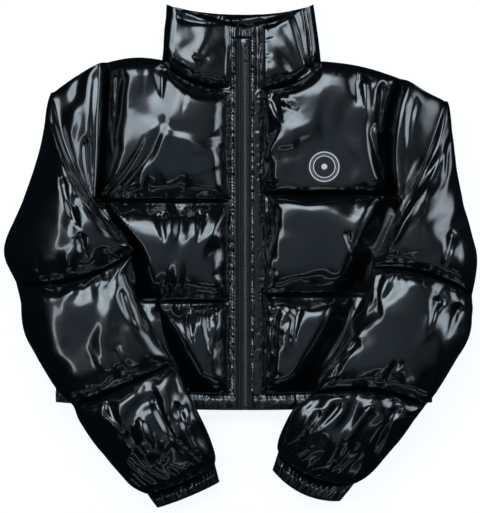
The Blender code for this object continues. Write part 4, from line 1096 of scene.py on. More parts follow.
def collar_skin(v, outside, counts, puckers=0.0):
    """The band as a grid: rows from seam to top edge, columns from the right front edge round the back.

    Each front is a domed strip, each side a half turn down to the back, and the back lies on the table.
    """
    v = v[:, None]
    puff = dome(v / 0.30) * (1 - 0.42 * np.clip((v - 0.18) / 0.82, 0, 1))
    slit_low, slit_high = BACK_LOFT, BACK_LOFT + COLLAR_SLIT
    front_thick = (EDGE_THICK + (COLLAR_LOFT - EDGE_THICK) * puff) if outside else 0 * v
    back_thick = mix(COLLAR_BACK_SEAM, BACK_LOFT, puff) if outside else 0 * v
    front_count, fold_count, back_count = counts
    parts = []
    for key in ("R", "L"):
        side = BODY[key]["side"]
        low_side, high_side = COLLAR_SIDE[key]
        rim = mix(low_side, high_side, v)
        inner_x = ZIP_X + side * ZIP_GAP / 2
        t = np.linspace(0, 1, front_count + 1)[None, :]
        x = mix(inner_x, rim - side * COLLAR_TURN, t)
        low, high = collar_edges(True, x)
        from_zip = abs(x - ZIP_X) - ZIP_GAP / 2
        flat = EDGE_THICK if outside else 0.0
        past = x - COLLAR_CREST[key] + 7 * wander(low / 9 + v * 1.6, 661 + side)
        fall = COLLAR_FALL / 2 * (past + np.hypot(past, 9)) * (v > 0) if outside else 0.0
        thick = flat + (np.maximum(front_thick - fall, flat) - flat) * dome((from_zip - PIPING_WIDTH) / 7)
        thick = thick + (3.0 if outside else 0) * np.sin(math.pi * np.clip(from_zip / PIPING_WIDTH, 0, 1))
        y = mix(low, high, v)
        if puckers:
            thick = thick - puckers * collar_relief(key, x, y, v, low, high)
        front = np.dstack([x, y, slit_high + np.maximum(thick, 0)])
        turn = np.linspace(0, math.pi, fold_count + 1)[None, 1:-1]
        reach = COLLAR_TURN if outside else 4.0
        fold_x = rim - side * (COLLAR_TURN - reach * np.sin(turn))
        near, far = collar_edges(True, fold_x), collar_edges(False, fold_x)
        share = (1 - np.cos(turn)) / 2
        fold_y = mix(mix(near[0], far[0], smooth(share * 12)), mix(near[1], far[1], share), v)
        fold_z = mix(slit_high + front_thick, slit_low - back_thick, share)
        fold = np.dstack([fold_x, fold_y, np.maximum(fold_z, 0)])
        parts.append((front, fold))
    ends = [mix(*COLLAR_SIDE[k], v) - BODY[k]["side"] * COLLAR_TURN for k in ("R", "L")]
    x = mix(ends[0], ends[1], np.linspace(0, 1, back_count + 1)[None, :])
    low, high = collar_edges(False, x)
    y = mix(low, high, v)
    if outside:
        bulge = -back_thick
    else:
        shown = y - collar_edges(True, x)[1]
        bulge = 9 * smooth(shown / 9) * dome((high - y) / 7) * (1 + 0.45 * swells(x, 3 * y, 651, 60))
        bulge = bulge - 5 * smooth(shown / 9) * petals(x, high - y, 26, 60, 653, 2.5)
    back = np.dstack([x, y, np.maximum(slit_low + bulge + 0 * x, 0)])
    (front_r, fold_r), (front_l, fold_l) = parts
    return np.concatenate([front_r, fold_r, back, fold_l[:, ::-1], front_l[:, ::-1]], axis=1)


# ---------------------------------------------------------------- small parts


def prism(outline, low, high, axis):
    """Points and faces of an outline in two axes, carried along the third."""
    others = [k for k in range(3) if k != axis]
    count = len(outline)
    points = np.zeros((2 * count, 3))
    points[:, others] = np.vstack([outline, outline])
    points[:count, axis], points[count:, axis] = low, high
    ring = np.arange(2 * count).reshape(2, count)
    lower, upper = tuple(range(count)), tuple(range(2 * count - 1, count - 1, -1))
    return points, [*grid_faces(ring, around=True), lower, upper]


def turned(profile, centre, count=96):
    """Points and faces of a profile of (radius, height) turned round an upright axis, closed at both ends."""
    turn = np.arange(count) * 2 * math.pi / count
    profile = np.array(profile, float)
    rings = np.zeros((len(profile), count, 3))
    rings[..., 0] = centre[0] + profile[:, :1] * np.cos(turn)
    rings[..., 1] = centre[1] + profile[:, :1] * np.sin(turn)
    rings[..., 2] = centre[2] + profile[:, 1:]
    return closed_tube(rings)


def repeated(points, faces, places, headings=None):
    """Copies of a small shape at each place, turned about Z by each heading, as one shape."""
    places = np.asarray(places, float)
    headings = np.zeros(len(places)) if headings is None else headings
    c, s = np.cos(headings)[:, None], np.sin(headings)[:, None]
    x = c * points[None, :, 0] - s * points[None, :, 1]
    y = s * points[None, :, 0] + c * points[None, :, 1]
    moved = np.dstack([x, y, np.broadcast_to(points[None, :, 2], x.shape)]) + places[:, None]
    shift = np.arange(len(places)) * len(points)
    return moved.reshape(-1, 3), [tuple(k + d for k in face) for d in shift.tolist() for face in faces]


def joined(*shapes):
    """Several sets of points and faces as one."""
    points, faces, first = [], [], 0
    for shape_points, shape_faces in shapes:
        points.append(shape_points)
        faces += [tuple(int(k) + first for k in face) for face in shape_faces]
        first += len(shape_points)
    return np.vstack(points), faces


def bevelled(piece, width, segments=2):
    """Rounds a hard piece's edges and applies that, so that its mesh is final."""
    change = piece.modifiers.new("Rounded edges", "BEVEL")
    change.width = width * MM
    change.segments = segments
    change.limit_method = "ANGLE"
    change.angle_limit = math.radians(40)
    graph = bpy.context.evaluated_depsgraph_get()
    rounded = bpy.data.meshes.new_from_object(piece.evaluated_get(graph))
    piece.modifiers.clear()
    piece.data = rounded
    rounded.shade_smooth()
    rounded.set_sharp_from_angle(angle=math.radians(40))
    return piece


def line_of(x, y, z):
    """A line of points, with one of the three a row of numbers and the others plain numbers."""
    return np.stack(np.broadcast_arrays(x, y, z), axis=1)


def stitches(path, length, gap, radius):
    """Short round threads laid end to end along a line of points, each sunk to half its thickness."""
    path = np.asarray(path, float)
    run = np.concatenate([[0], np.cumsum(np.linalg.norm(np.diff(path, axis=0), axis=1))])
    starts = np.arange(gap, run[-1] - length, length + gap)
    ends = [np.stack([np.interp(starts + d, run, path[:, k]) for k in range(3)], axis=1) for d in (0, length)]
    along = ends[1] - ends[0]
    heading = along / np.maximum(np.linalg.norm(along, axis=1, keepdims=True), 1e-9)
    side = np.cross(heading, (0.0, 0.0, 1.0))
    side /= np.maximum(np.linalg.norm(side, axis=1, keepdims=True), 1e-9)
    up = np.cross(side, heading)
    turn = np.arange(6) * math.pi / 3
    rings = []
    for place, share in THREAD_SHAPE:
        centre = mix(ends[0], ends[1], place)
        ring = np.cos(turn)[None, :, None] * side[:, None] + np.sin(turn)[None, :, None] * up[:, None]
        rings.append(centre[:, None] + share * radius * ring)
    rings = np.stack(rings, axis=1)
    count = len(starts)
    index = np.arange(count * 30).reshape(count, 5, 6)
    wrapped = np.concatenate([index, index[:, :, :1]], axis=2)
    here, there = wrapped[:, :-1], wrapped[:, 1:]
    quads = np.stack([here[..., :-1], here[..., 1:], there[..., 1:], there[..., :-1]], axis=-1)
    caps = [tuple(ring) for ring in index[:, 0, ::-1]] + [tuple(ring) for ring in index[:, -1]]
    return rings.reshape(-1, 3), [*quads.reshape(-1, 4), *caps]


# ---------------------------------------------------------------- materials


def node_group(name, inputs, outputs):
    """A new shader node group with float inputs and the named outputs, and its two ends."""
    group = bpy.data.node_groups.new(name, "ShaderNodeTree")
    for label, kind, value in inputs:
        socket = group.interface.new_socket(label, in_out="INPUT", socket_type=kind)
        if value is not None:
            socket.default_value = value
    for label, kind in outputs:
        group.interface.new_socket(label, in_out="OUTPUT", socket_type=kind)
    return group, group.nodes.new("NodeGroupInput"), group.nodes.new("NodeGroupOutput")


def add(tree, kind, inputs=None, **settings):
    """A node with its settings, each input a value or the socket that feeds it."""
    node = tree.nodes.new(kind)
    for label, value in settings.items():
        setattr(node, label, value)
    for label, value in (inputs or {}).items():
        if isinstance(value, bpy.types.NodeSocket):
            tree.links.new(value, node.inputs[label])
        else:
            node.inputs[label].default_value = value
    return node


def maths(tree, operation, *values, kind="ShaderNodeMath"):
    """What a math node makes of those values or sockets."""
    return add(tree, kind, dict(enumerate(values)), operation=operation).outputs[0]


def noise(tree, at, scale, detail, **more):
    """The value of a noise at that place."""
    values = {"Vector": at, "Scale": scale, "Detail": detail, **more}
    return add(tree, "ShaderNodeTexNoise", values).outputs["Fac"]


def crinkle_group():
    """Fine creases of thin coated cloth: ridged noise, a finer one on it, and a third that bends both."""
    inputs = [
        ("Vector", "NodeSocketVector", None),
        ("Scale", "NodeSocketFloat", 90.0),
        ("Depth", "NodeSocketFloat", 1.0),
    ]
    outputs = [("Height", "NodeSocketFloat"), ("Roughness mask", "NodeSocketFloat")]
    group, start, end = node_group("coated_cloth_crinkle", inputs, outputs)
    at = start.outputs["Vector"]
    warp = add(group, "ShaderNodeTexNoise", {"Vector": at, "Scale": 14.0, "Detail": 2.0})
    shift = maths(group, "MULTIPLY", warp.outputs["Color"], (0.02, 0.02, 0.02), kind="ShaderNodeVectorMath")
    place = maths(group, "ADD", at, shift, kind="ShaderNodeVectorMath")
    values = {"Vector": place, "Scale": start.outputs["Scale"]}
    values.update({"Detail": 3.0, "Roughness": 0.5, "Lacunarity": 2.2})
    broad = add(group, "ShaderNodeTexNoise", values, noise_type="RIDGED_MULTIFRACTAL", normalize=True)
    both = maths(group, "MULTIPLY_ADD", noise(group, place, 420.0, 3.0), 0.06, broad.outputs["Fac"])
    group.links.new(maths(group, "MULTIPLY", both, start.outputs["Depth"]), end.inputs["Height"])
    group.links.new(noise(group, at, 23.0, 4.0), end.inputs["Roughness mask"])
    return group


def weave_group():
    """A plain weave: two sets of threads at right angles that pass over each other by turns."""
    inputs = [
        ("Vector", "NodeSocketVector", None),
        ("Threads per metre", "NodeSocketFloat", 1800.0),
        ("Slant", "NodeSocketFloat", 0.0),
    ]
    outputs = [("Height", "NodeSocketFloat"), ("Shade", "NodeSocketFloat")]
    group, start, end = node_group("woven_threads", inputs, outputs)
    slant = add(group, "ShaderNodeCombineXYZ", {"Z": start.outputs["Slant"]})
    values = {"Vector": start.outputs["Vector"], "Rotation": slant.outputs[0]}
    turn = add(group, "ShaderNodeVectorRotate", values, rotation_type="EULER_XYZ")
    values = {0: turn.outputs[0], 3: start.outputs["Threads per metre"]}
    scaled = add(group, "ShaderNodeVectorMath", values, operation="SCALE").outputs[0]
    split = add(group, "ShaderNodeSeparateXYZ", {0: scaled})
    waves = [maths(group, "SINE", maths(group, "MULTIPLY", split.outputs[k], math.pi)) for k in (0, 1)]
    lift = maths(group, "MULTIPLY_ADD", maths(group, "MULTIPLY", *waves), 0.5, 0.5)
    group.links.new(lift, end.inputs["Height"])
    shade = maths(group, "MULTIPLY", lift, noise(group, scaled, 0.35, 2.0))
    group.links.new(shade, end.inputs["Shade"])
    return group


def wear_group():
    """Dust and rub marks: a pale tint in specks, within uneven patches."""
    inputs = [
        ("Vector", "NodeSocketVector", None),
        ("Colour", "NodeSocketColor", (0.01, 0.01, 0.01, 1)),
        ("Amount", "NodeSocketFloat", 0.1),
    ]
    outputs = [("Colour", "NodeSocketColor"), ("Mask", "NodeSocketFloat")]
    group, start, end = node_group("dust_and_rub", inputs, outputs)
    at = start.outputs["Vector"]
    patches = (noise(group, at, 9.0, 6.0, Roughness=0.62), 0.45, 0.8)
    specks = (noise(group, at, 380.0, 2.0), 0.55, 0.75)
    masks = []
    for value, lowest, highest in (patches, specks):
        values = {"Value": value, "From Min": lowest, "From Max": highest}
        masks.append(add(group, "ShaderNodeMapRange", values).outputs[0])
    mask = maths(group, "MULTIPLY", maths(group, "MULTIPLY", *masks), start.outputs["Amount"])
    shades = {0: mask, 6: start.outputs["Colour"], 7: (0.35, 0.37, 0.40, 1)}
    dusty = add(group, "ShaderNodeMix", shades, data_type="RGBA")
    group.links.new(dusty.outputs[2], end.inputs["Colour"])
    group.links.new(mask, end.inputs["Mask"])
    return group


def place_group(tree, name, inputs):
    """A node that holds one of the shared groups, which is made when it is first asked for."""
    makers = {
        "coated_cloth_crinkle": crinkle_group,
        "woven_threads": weave_group,
        "dust_and_rub": wear_group,
    }
    group = bpy.data.node_groups.get(name) or makers[name]()
    return add(tree, "ShaderNodeGroup", inputs, node_tree=group)


def new_material(name, colour, roughness, shader_values):
    """A material with a Principled shader and the piece's own object coordinates."""
    made = bpy.data.materials.new(name)
    made.use_nodes = True
    made.diffuse_color = (*colour, 1)
    tree = made.node_tree
    shader = tree.nodes["Principled BSDF"]
    shader.inputs["Base Color"].default_value = (*colour, 1)
    shader.inputs["Roughness"].default_value = roughness
    for label, value in shader_values.items():
        shader.inputs[label].default_value = value
    coordinates = add(tree, "ShaderNodeTexCoord").outputs["Object"]
    return made, tree, shader, coordinates


def set_dust(tree, shader, at, colour, amount):
    """The shader's colour: that one, with a little dust on it."""
    dust = place_group(tree, "dust_and_rub", {"Vector": at, "Colour": colour, "Amount": amount})
    tree.links.new(dust.outputs["Colour"], shader.inputs["Base Color"])


def set_roughness(tree, shader, at, scale, lowest, highest):
    """The shader's roughness, uneven between two values. Returns the height of the fine creases there."""
    fine = place_group(tree, "coated_cloth_crinkle", {"Vector": at, "Scale": scale, "Depth": 1.0})
    values = {"Value": fine.outputs["Roughness mask"], "To Min": lowest, "To Max": highest}
    rough = add(tree, "ShaderNodeMapRange", values)
    tree.links.new(rough.outputs[0], shader.inputs["Roughness"])
    return fine.outputs["Height"]


def set_relief(tree, shader, height, strength, depth):
    """The shader's relief, depth millimetres deep."""
    bump = add(tree, "ShaderNodeBump", {"Height": height, "Strength": strength, "Distance": depth * MM})
    tree.links.new(bump.outputs[0], shader.inputs["Normal"])


def gloss_cloth(name, colour, roughness, coat_roughness, crinkle, scale):
    """Coated nylon: near black under a clear gloss, with fine crinkles and a little dust."""
    found = bpy.data.materials.get(name)
    if found:
        return found
    values = {"IOR": 1.55, "Specular IOR Level": 0.75, "Coat Weight": 1.0, "Coat IOR": 1.6}
    values["Coat Roughness"] = coat_roughness
    made, tree, shader, at = new_material(name, colour, roughness, values)
    set_dust(tree, shader, at, (*colour, 1), 0.05)
    height = set_roughness(tree, shader, at, scale, roughness * 0.75, roughness * 1.35)
    set_relief(tree, shader, height, 1.0, crinkle)
    return made


def woven(name, colour, light, roughness, threads, slant, depth):
    """Woven thread: a two-tone weave in relief."""
    found = bpy.data.materials.get(name)
    if found:
        return found
    made, tree, shader, at = new_material(name, colour, roughness, {"Specular IOR Level": 0.4})
    values = {"Vector": at, "Threads per metre": threads, "Slant": slant}
    weave = place_group(tree, "woven_threads", values)
    tones = {0: weave.outputs["Shade"], 6: (*colour, 1), 7: (*light, 1)}
    tone = add(tree, "ShaderNodeMix", tones, data_type="RGBA")
    set_dust(tree, shader, at, tone.outputs[2], 0.12)
    set_relief(tree, shader, weave.outputs["Height"], 0.8, depth)
    return made


def moulded(name, colour, roughness, metallic=0.0, grain=0.05, wear=0.15, shine=0.5):
    """Moulded or painted: a slight grain in relief and an uneven, rubbed gloss."""
    found = bpy.data.materials.get(name)
    if found:
        return found
    values = {"Metallic": metallic, "Specular IOR Level": shine}
    made, tree, shader, at = new_material(name, colour, roughness, values)
    set_dust(tree, shader, at, (*colour, 1), wear)
    height = set_roughness(tree, shader, at, 700.0, roughness * 0.8, roughness * 1.3)
    set_relief(tree, shader, height, 0.5, grain)
    return made


def shell_finish():
    look = bpy.context.scene.jacket_shell
    colour = tuple(look.colour)
    return gloss_cloth("glossy_nylon", colour, look.roughness, look.coat_roughness, look.crinkle, 90.0)


def elastic_finish():
    """The same cloth as the shell's, duller and more creased."""
    look = bpy.context.scene.jacket_shell
    gloss = (look.roughness * 1.4, look.coat_roughness * 1.8, look.crinkle * 1.6)
    return gloss_cloth("gathered_nylon", tuple(look.colour), *gloss, 160.0)


def thread_finish():
    return woven("sewing_thread", (0.010, 0.011, 0.013), (0.05, 0.055, 0.06), 0.45, 2600.0, 0.6, 0.05)


# ---------------------------------------------------------------- settings


def amount(name, description, default, low, high, **more):
    """A setting that is a number with two limits."""
    return FloatProperty(name=name, description=description, default=default, min=low, max=high, **more)


def whole(name, description, default, high):
    """A setting that is a whole number from 0 up."""
    return IntProperty(name=name, description=description, default=default, min=0, max=high)


def tint(name, description, default):
    """A setting that is a colour."""
    limits = {"size": 3, "min": 0.0, "max": 1.0}
    return FloatVectorProperty(name=name, description=description, subtype="COLOR", default=default, **limits)


class JacketShell(bpy.types.PropertyGroup):
    """The cloth of the whole jacket, its lengths in millimetres."""

    colour: tint("Shell colour", "Colour of the cloth under its gloss", (0.0010, 0.0018, 0.0026))
    roughness: amount("Roughness", "Roughness of the cloth itself", 0.22, 0.02, 1.0)
    coat_roughness: amount("Gloss roughness", "Roughness of the clear coating", 0.045, 0.0, 1.0)
    crinkle: amount("Crinkle", "Depth of the finest creases", 0.07, 0.0, 2.0)
    step: amount("Grid step", "Spacing of the cloth's points", 4.0, 2.0, 12.0)
    puckers: amount("Puckers", "Depth of folds and puckers, as a share of the made ones", 1.0, 0.0, 2.0)
    growth: amount("Fullness", "How much larger the cloth is cut than its place", 0.022, 0.0, 0.3)
    pressure: amount("Filling", "How hard the filling pushes the cloth out", 3.0, 0.0, 20.0)
    frames: whole("Settling", "Steps of the cloth simulation", 20, 60)
    cap: amount("Largest move", "How far the simulation may move a point", 7.0, 0.5, 30.0)


class JacketZip(bpy.types.PropertyGroup):
    """The zip and its slider."""

    pitch: amount("Tooth pitch", "From one tooth to the next on a side, in millimetres", 3.2, 1.5, 8.0)
    tooth_colour: tint("Tooth colour", "Colour of the moulded teeth", (0.030, 0.033, 0.037))
    metal_colour: tint("Slider colour", "Colour of the slider and its pull", (0.13, 0.14, 0.15))


class JacketBadge(bpy.types.PropertyGroup):
    """The round patch on the chest."""

    base_colour: tint("Base colour", "Colour of the rubber", (0.004, 0.005, 0.006))
    line_colour: tint("Line colour", "Colour of the raised rings", (0.80, 0.82, 0.84))
    ticks: whole("Ticks", "Raised ticks between the rings", 36, 120)


class JacketStage(bpy.types.PropertyGroup):
    """The floor, the lights and the camera."""

    floor_colour: tint("Floor colour", "Colour of the plain floor", (0.90, 0.92, 0.935))
    lens: amount("Lens", "Focal length of the camera", 0.200, 0.02, 1.0, unit="CAMERA")
    key_light: amount("Window light", "Brightness of the large light beyond the collar", 3.9, 0.0, 100.0)
    side_light: amount("Side light", "Brightness of the light on the garment's left", 2.7, 0.0, 100.0)
    ceiling: amount("Ceiling", "Brightness of the dim panel overhead", 0.19, 0.0, 20.0)
    fill: amount("Fill", "Brightness of the even light from all round", 0.5, 0.0, 10.0)


# ---------------------------------------------------------------- operators


class JACKET_OT_fronts(bpy.types.Operator):
    """Builds the two padded fronts"""

    bl_idname = "jacket.fronts"
    bl_label = "Fronts"

    def execute(self, context):
        look = context.scene.jacket_shell
        for key, half in BODY.items():
            outer, faces = closed_wall(front_surface(key, look), FRONT_INSIDE)
            piece = mesh_piece(f"{half['name']}_front_shell", outer, faces, 60)
            dressed(piece, shell_finish(), [f"front_{half['name']}"])
        return {"FINISHED"}


class JACKET_OT_back(bpy.types.Operator):
    """Builds the padded back that the jacket lies on"""

    bl_idname = "jacket.back"
    bl_label = "Back"

    def execute(self, context):
        look = context.scene.jacket_shell
        outer, faces = closed_wall(back_points(look.step * 1.25, look.puckers), BACK_LOFT)
        piece = mesh_piece("back_shell", outer, faces, 60)
        dressed(piece, shell_finish(), ["back"])
        return {"FINISHED"}


class JACKET_OT_sleeves(bpy.types.Operator):
    """Builds the two folded sleeves"""

    bl_idname = "jacket.sleeves"
    bl_label = "Sleeves"

    def execute(self, context):
        look = context.scene.jacket_shell
        for key, half in BODY.items():
            s, upper, held, relief = sleeve_points(key, look.step, look.puckers)
            calm = mix(CAP_CALM, 1.0, smooth(s - station("valley")))[:, None, None]
            upper = upper + calm * inflate(upper, held, look.growth, look.pressure, look.frames, look.cap)
            upper[..., 2] += relief
            upper = refine(upper)
            rows = np.interp(np.linspace(0, len(s) - 1, 2 * len(s) - 1), np.arange(len(s)), s)
            under = sleeve_underside(key, rows)
            rings, faces = closed_tube(np.concatenate([upper, under], axis=1))
            piece = mesh_piece(f"{half['name']}_sleeve_shell", rings, faces, 60)
            dressed(piece, shell_finish(), [f"sleeve_{half['name']}"])
        return {"FINISHED"}


class JACKET_OT_cuffs(bpy.types.Operator):
    """Builds the two elastic cuffs"""

    bl_idname = "jacket.cuffs"
    bl_label = "Cuffs"

    def execute(self, context):
        for key, half in BODY.items():
            points, faces = closed_tube(cuff_rings(key))
            piece = mesh_piece(f"{half['name']}_cuff_band", points, faces, 70)
            dressed(piece, elastic_finish(), [f"cuff_{half['name']}"])
        return {"FINISHED"}


class JACKET_OT_hem(bpy.types.Operator):
    """Builds the elastic hem in its three runs"""

    bl_idname = "jacket.hem"
    bl_label = "Hem"

    def execute(self, context):
        for half in BODY.values():
            start = ZIP_X + half["side"] * ZIP_GAP / 2
            end = half["hem_corner"][0] - half["side"] * 0.3
            points = hem_points(start, end, FRONT_INSIDE, 1, HEM_LOFT, 700 + half["side"])
            piece = mesh_piece(f"{half['name']}_hem_band", *closed_wall(points, FRONT_INSIDE), 70)
            dressed(piece, elastic_finish(), [f"hem_{half['name']}"])
        ends = [BODY[k]["hem_corner"][0] - BODY[k]["side"] * 0.3 for k in ("R", "L")]
        points = hem_points(*ends, BACK_LOFT, -1, BACK_HEM_LOFT, 711)
        piece = mesh_piece("back_hem_band", *closed_wall(points, BACK_LOFT), 70)
        dressed(piece, elastic_finish(), ["hem_back"])
        return {"FINISHED"}


class JACKET_OT_collar(bpy.types.Operator):
    """Builds the padded collar"""

    bl_idname = "jacket.collar"
    bl_label = "Collar"

    def execute(self, context):
        look = context.scene.jacket_shell
        v = spaced(2 * round(COLLAR_UP / look.step), 0.35)
        counts = [2 * round(run / look.step / 2) for run in COLLAR_RUNS]
        outside = collar_skin(v, True, counts, look.puckers)
        held = np.zeros(outside.shape[:2])
        held[[0, -1]] = 1
        held[:, [0, -1]] = 1
        on_table = counts[0] + counts[1] - 3
        held[:, on_table:-on_table] = 1
        outside = outside + inflate(outside, held, look.growth / 2, look.pressure, look.frames, look.cap / 2)
        inside = collar_skin(v, False, counts)
        outside, inside = refine(outside), refine(inside)
        loops = np.concatenate([outside, inside[:, ::-1]], axis=1)
        rows, around = loops.shape[:2]
        index = np.arange(rows * around).reshape(rows, around)
        faces = list(grid_faces(index, around=True))
        half = around // 2
        for row in (index[0], index[-1]):
            faces += list(grid_faces(np.stack([row[:half], row[:half - 1:-1]])))
        piece = mesh_piece("collar_shell", loops.reshape(-1, 3), faces, 60)
        dressed(piece, shell_finish(), ["collar"])
        return {"FINISHED"}


def cord_points(key):
    """Cloth gathered over a cord: an arch across it, and along it a saw wave of uneven, slanting gathers.

    Each gather falls towards the collar by a slope of its own, and the next starts with a step up.
    """
    seed = 90 + BODY[key]["side"]
    y = np.arange(HEM_SEAM_Y + 2, ZIP_TOP - 12, 0.7)[:, None]
    turn = np.linspace(0, math.pi, 15)[None, :]
    across, rise = -np.cos(turn), np.maximum(np.sin(turn), 0) ** 0.4
    along = (y + 1.5 * across + 5 * wander(y / 40, seed)) / CORD_PITCH
    slope = 0.62 * np.random.default_rng(seed).random(997)[np.floor(along).astype(int) % 997]
    saw = slope * CORD_PITCH * (0.5 - (along - np.floor(along)))
    x = CORD_X[key] + (CORD_RADIUS + 0.5 * wander(y / 9, seed + 2)) * across + 0.5 * wander(y / 25, seed + 4)
    return np.dstack([x, y + 0 * x, FRONT_INSIDE + 4 + (1.25 * CORD_RADIUS + saw) * rise])


def guard_points():
    """The gathered cloth over the zip's upper end: a low arch each way, with folds that fan out upwards."""
    x = np.linspace(-GUARD_HALF, GUARD_HALF, 41)[None, :]
    y = np.linspace(GUARD_FROM, GUARD_TO, 23)[:, None]
    long = GUARD_TO - GUARD_FROM
    share = (y - GUARD_FROM) / long
    folds = petals(x * (1.15 - 0.15 * share), long * share, 5.5, 60, 801, 0.3)
    folds = folds + 0.6 * petals(x, long - long * share, 4, 30, 803, 0.2)
    arch = dome((GUARD_HALF - np.abs(x)) / 9) * dome(share / 0.25) * dome((1 - share) / 0.3)
    z = TAPE_TOP + 0.1 + 6.5 * arch - 2.8 * folds * arch
    return np.dstack([ZIP_X + x + 0 * y, y + 0 * x - 4 * (1 - (x / GUARD_HALF) ** 2) * share, z])


def tape_points(side):
    """A zip tape: its profile carried along the zip, bent down a little at its upper end."""
    along = np.linspace(ZIP_BOTTOM, ZIP_TOP - 4, 260)[:, None]
    across, bead = np.array(TAPE_PROFILE).T
    z = TAPE_TOP + bead[None, :] + 0.12 * wander(along / 40, 90 + side)
    z = z - 1.1 * smooth((along - ZIP_TOP + 12) / 8)
    x = ZIP_X + side * across[None, :] + 0 * along
    return np.dstack([x, along + 0 * x, z])


def zip_tooth(side):
    """Points and faces of a tooth: its foot in the tape, its head, and a crown that slopes to a ridge."""
    whole, head = [np.array(o + [(x, -y) for x, y in o[::-1]]) * (-side, 1) for o in (TOOTH, TOOTH[2:])]
    levels = [TAPE_TOP + level for level in TOOTH_LEVELS]
    crown = prism(head, *levels[2:], 2)
    crown[0][len(head):] = crown[0][len(head):] * (0.9, 0.12, 1) - (0, 0.4 * side, 0)
    return joined(prism(whole, *levels[:2], 2), prism(head, *levels[1:3], 2), crown)


class JACKET_OT_zip(bpy.types.Operator):
    """Builds the zip's tapes and teeth and the corded edges beside them"""

    bl_idname = "jacket.zip"
    bl_label = "Zip"

    def execute(self, context):
        zip_look = context.scene.jacket_zip
        guard = mesh_piece("zip_guard", *closed_wall(refine(guard_points()), TAPE_Z + 0.9), 60)
        dressed(guard, shell_finish())
        tape = woven("zip_tape_weave", (0.004, 0.005, 0.006), (0.020, 0.022, 0.025), 0.6, 1100.0, 0.785, 0.15)
        plastic = moulded("moulded_teeth", tuple(zip_look.tooth_colour), 0.25, shine=0.9)
        for key, half in BODY.items():
            cord = closed_wall(cord_points(key), FRONT_INSIDE + 2)
            piece = mesh_piece(f"{half['name']}_edge_cord", *cord, 60)
            dressed(piece, shell_finish())
            side = half["side"]
            piece = mesh_piece(f"{half['name']}_zip_tape", *closed_wall(tape_points(side), TAPE_Z), 60)
            dressed(piece, tape, [f"zip_tape_{half['name']}"])
            start = ZIP_BOTTOM + 6 + (zip_look.pitch / 2 if side > 0 else 0)
            y = np.arange(start, ZIP_TOP - 6, zip_look.pitch)
            apart = PARTED_BY * smooth((y - PARTED_FROM) / 14)
            places = np.stack([ZIP_X + side * apart, y, 0 * y], axis=1)
            piece = mesh_piece(f"{half['name']}_zip_teeth", *repeated(*zip_tooth(side), places), 30)
            dressed(piece, plastic)
        return {"FINISHED"}

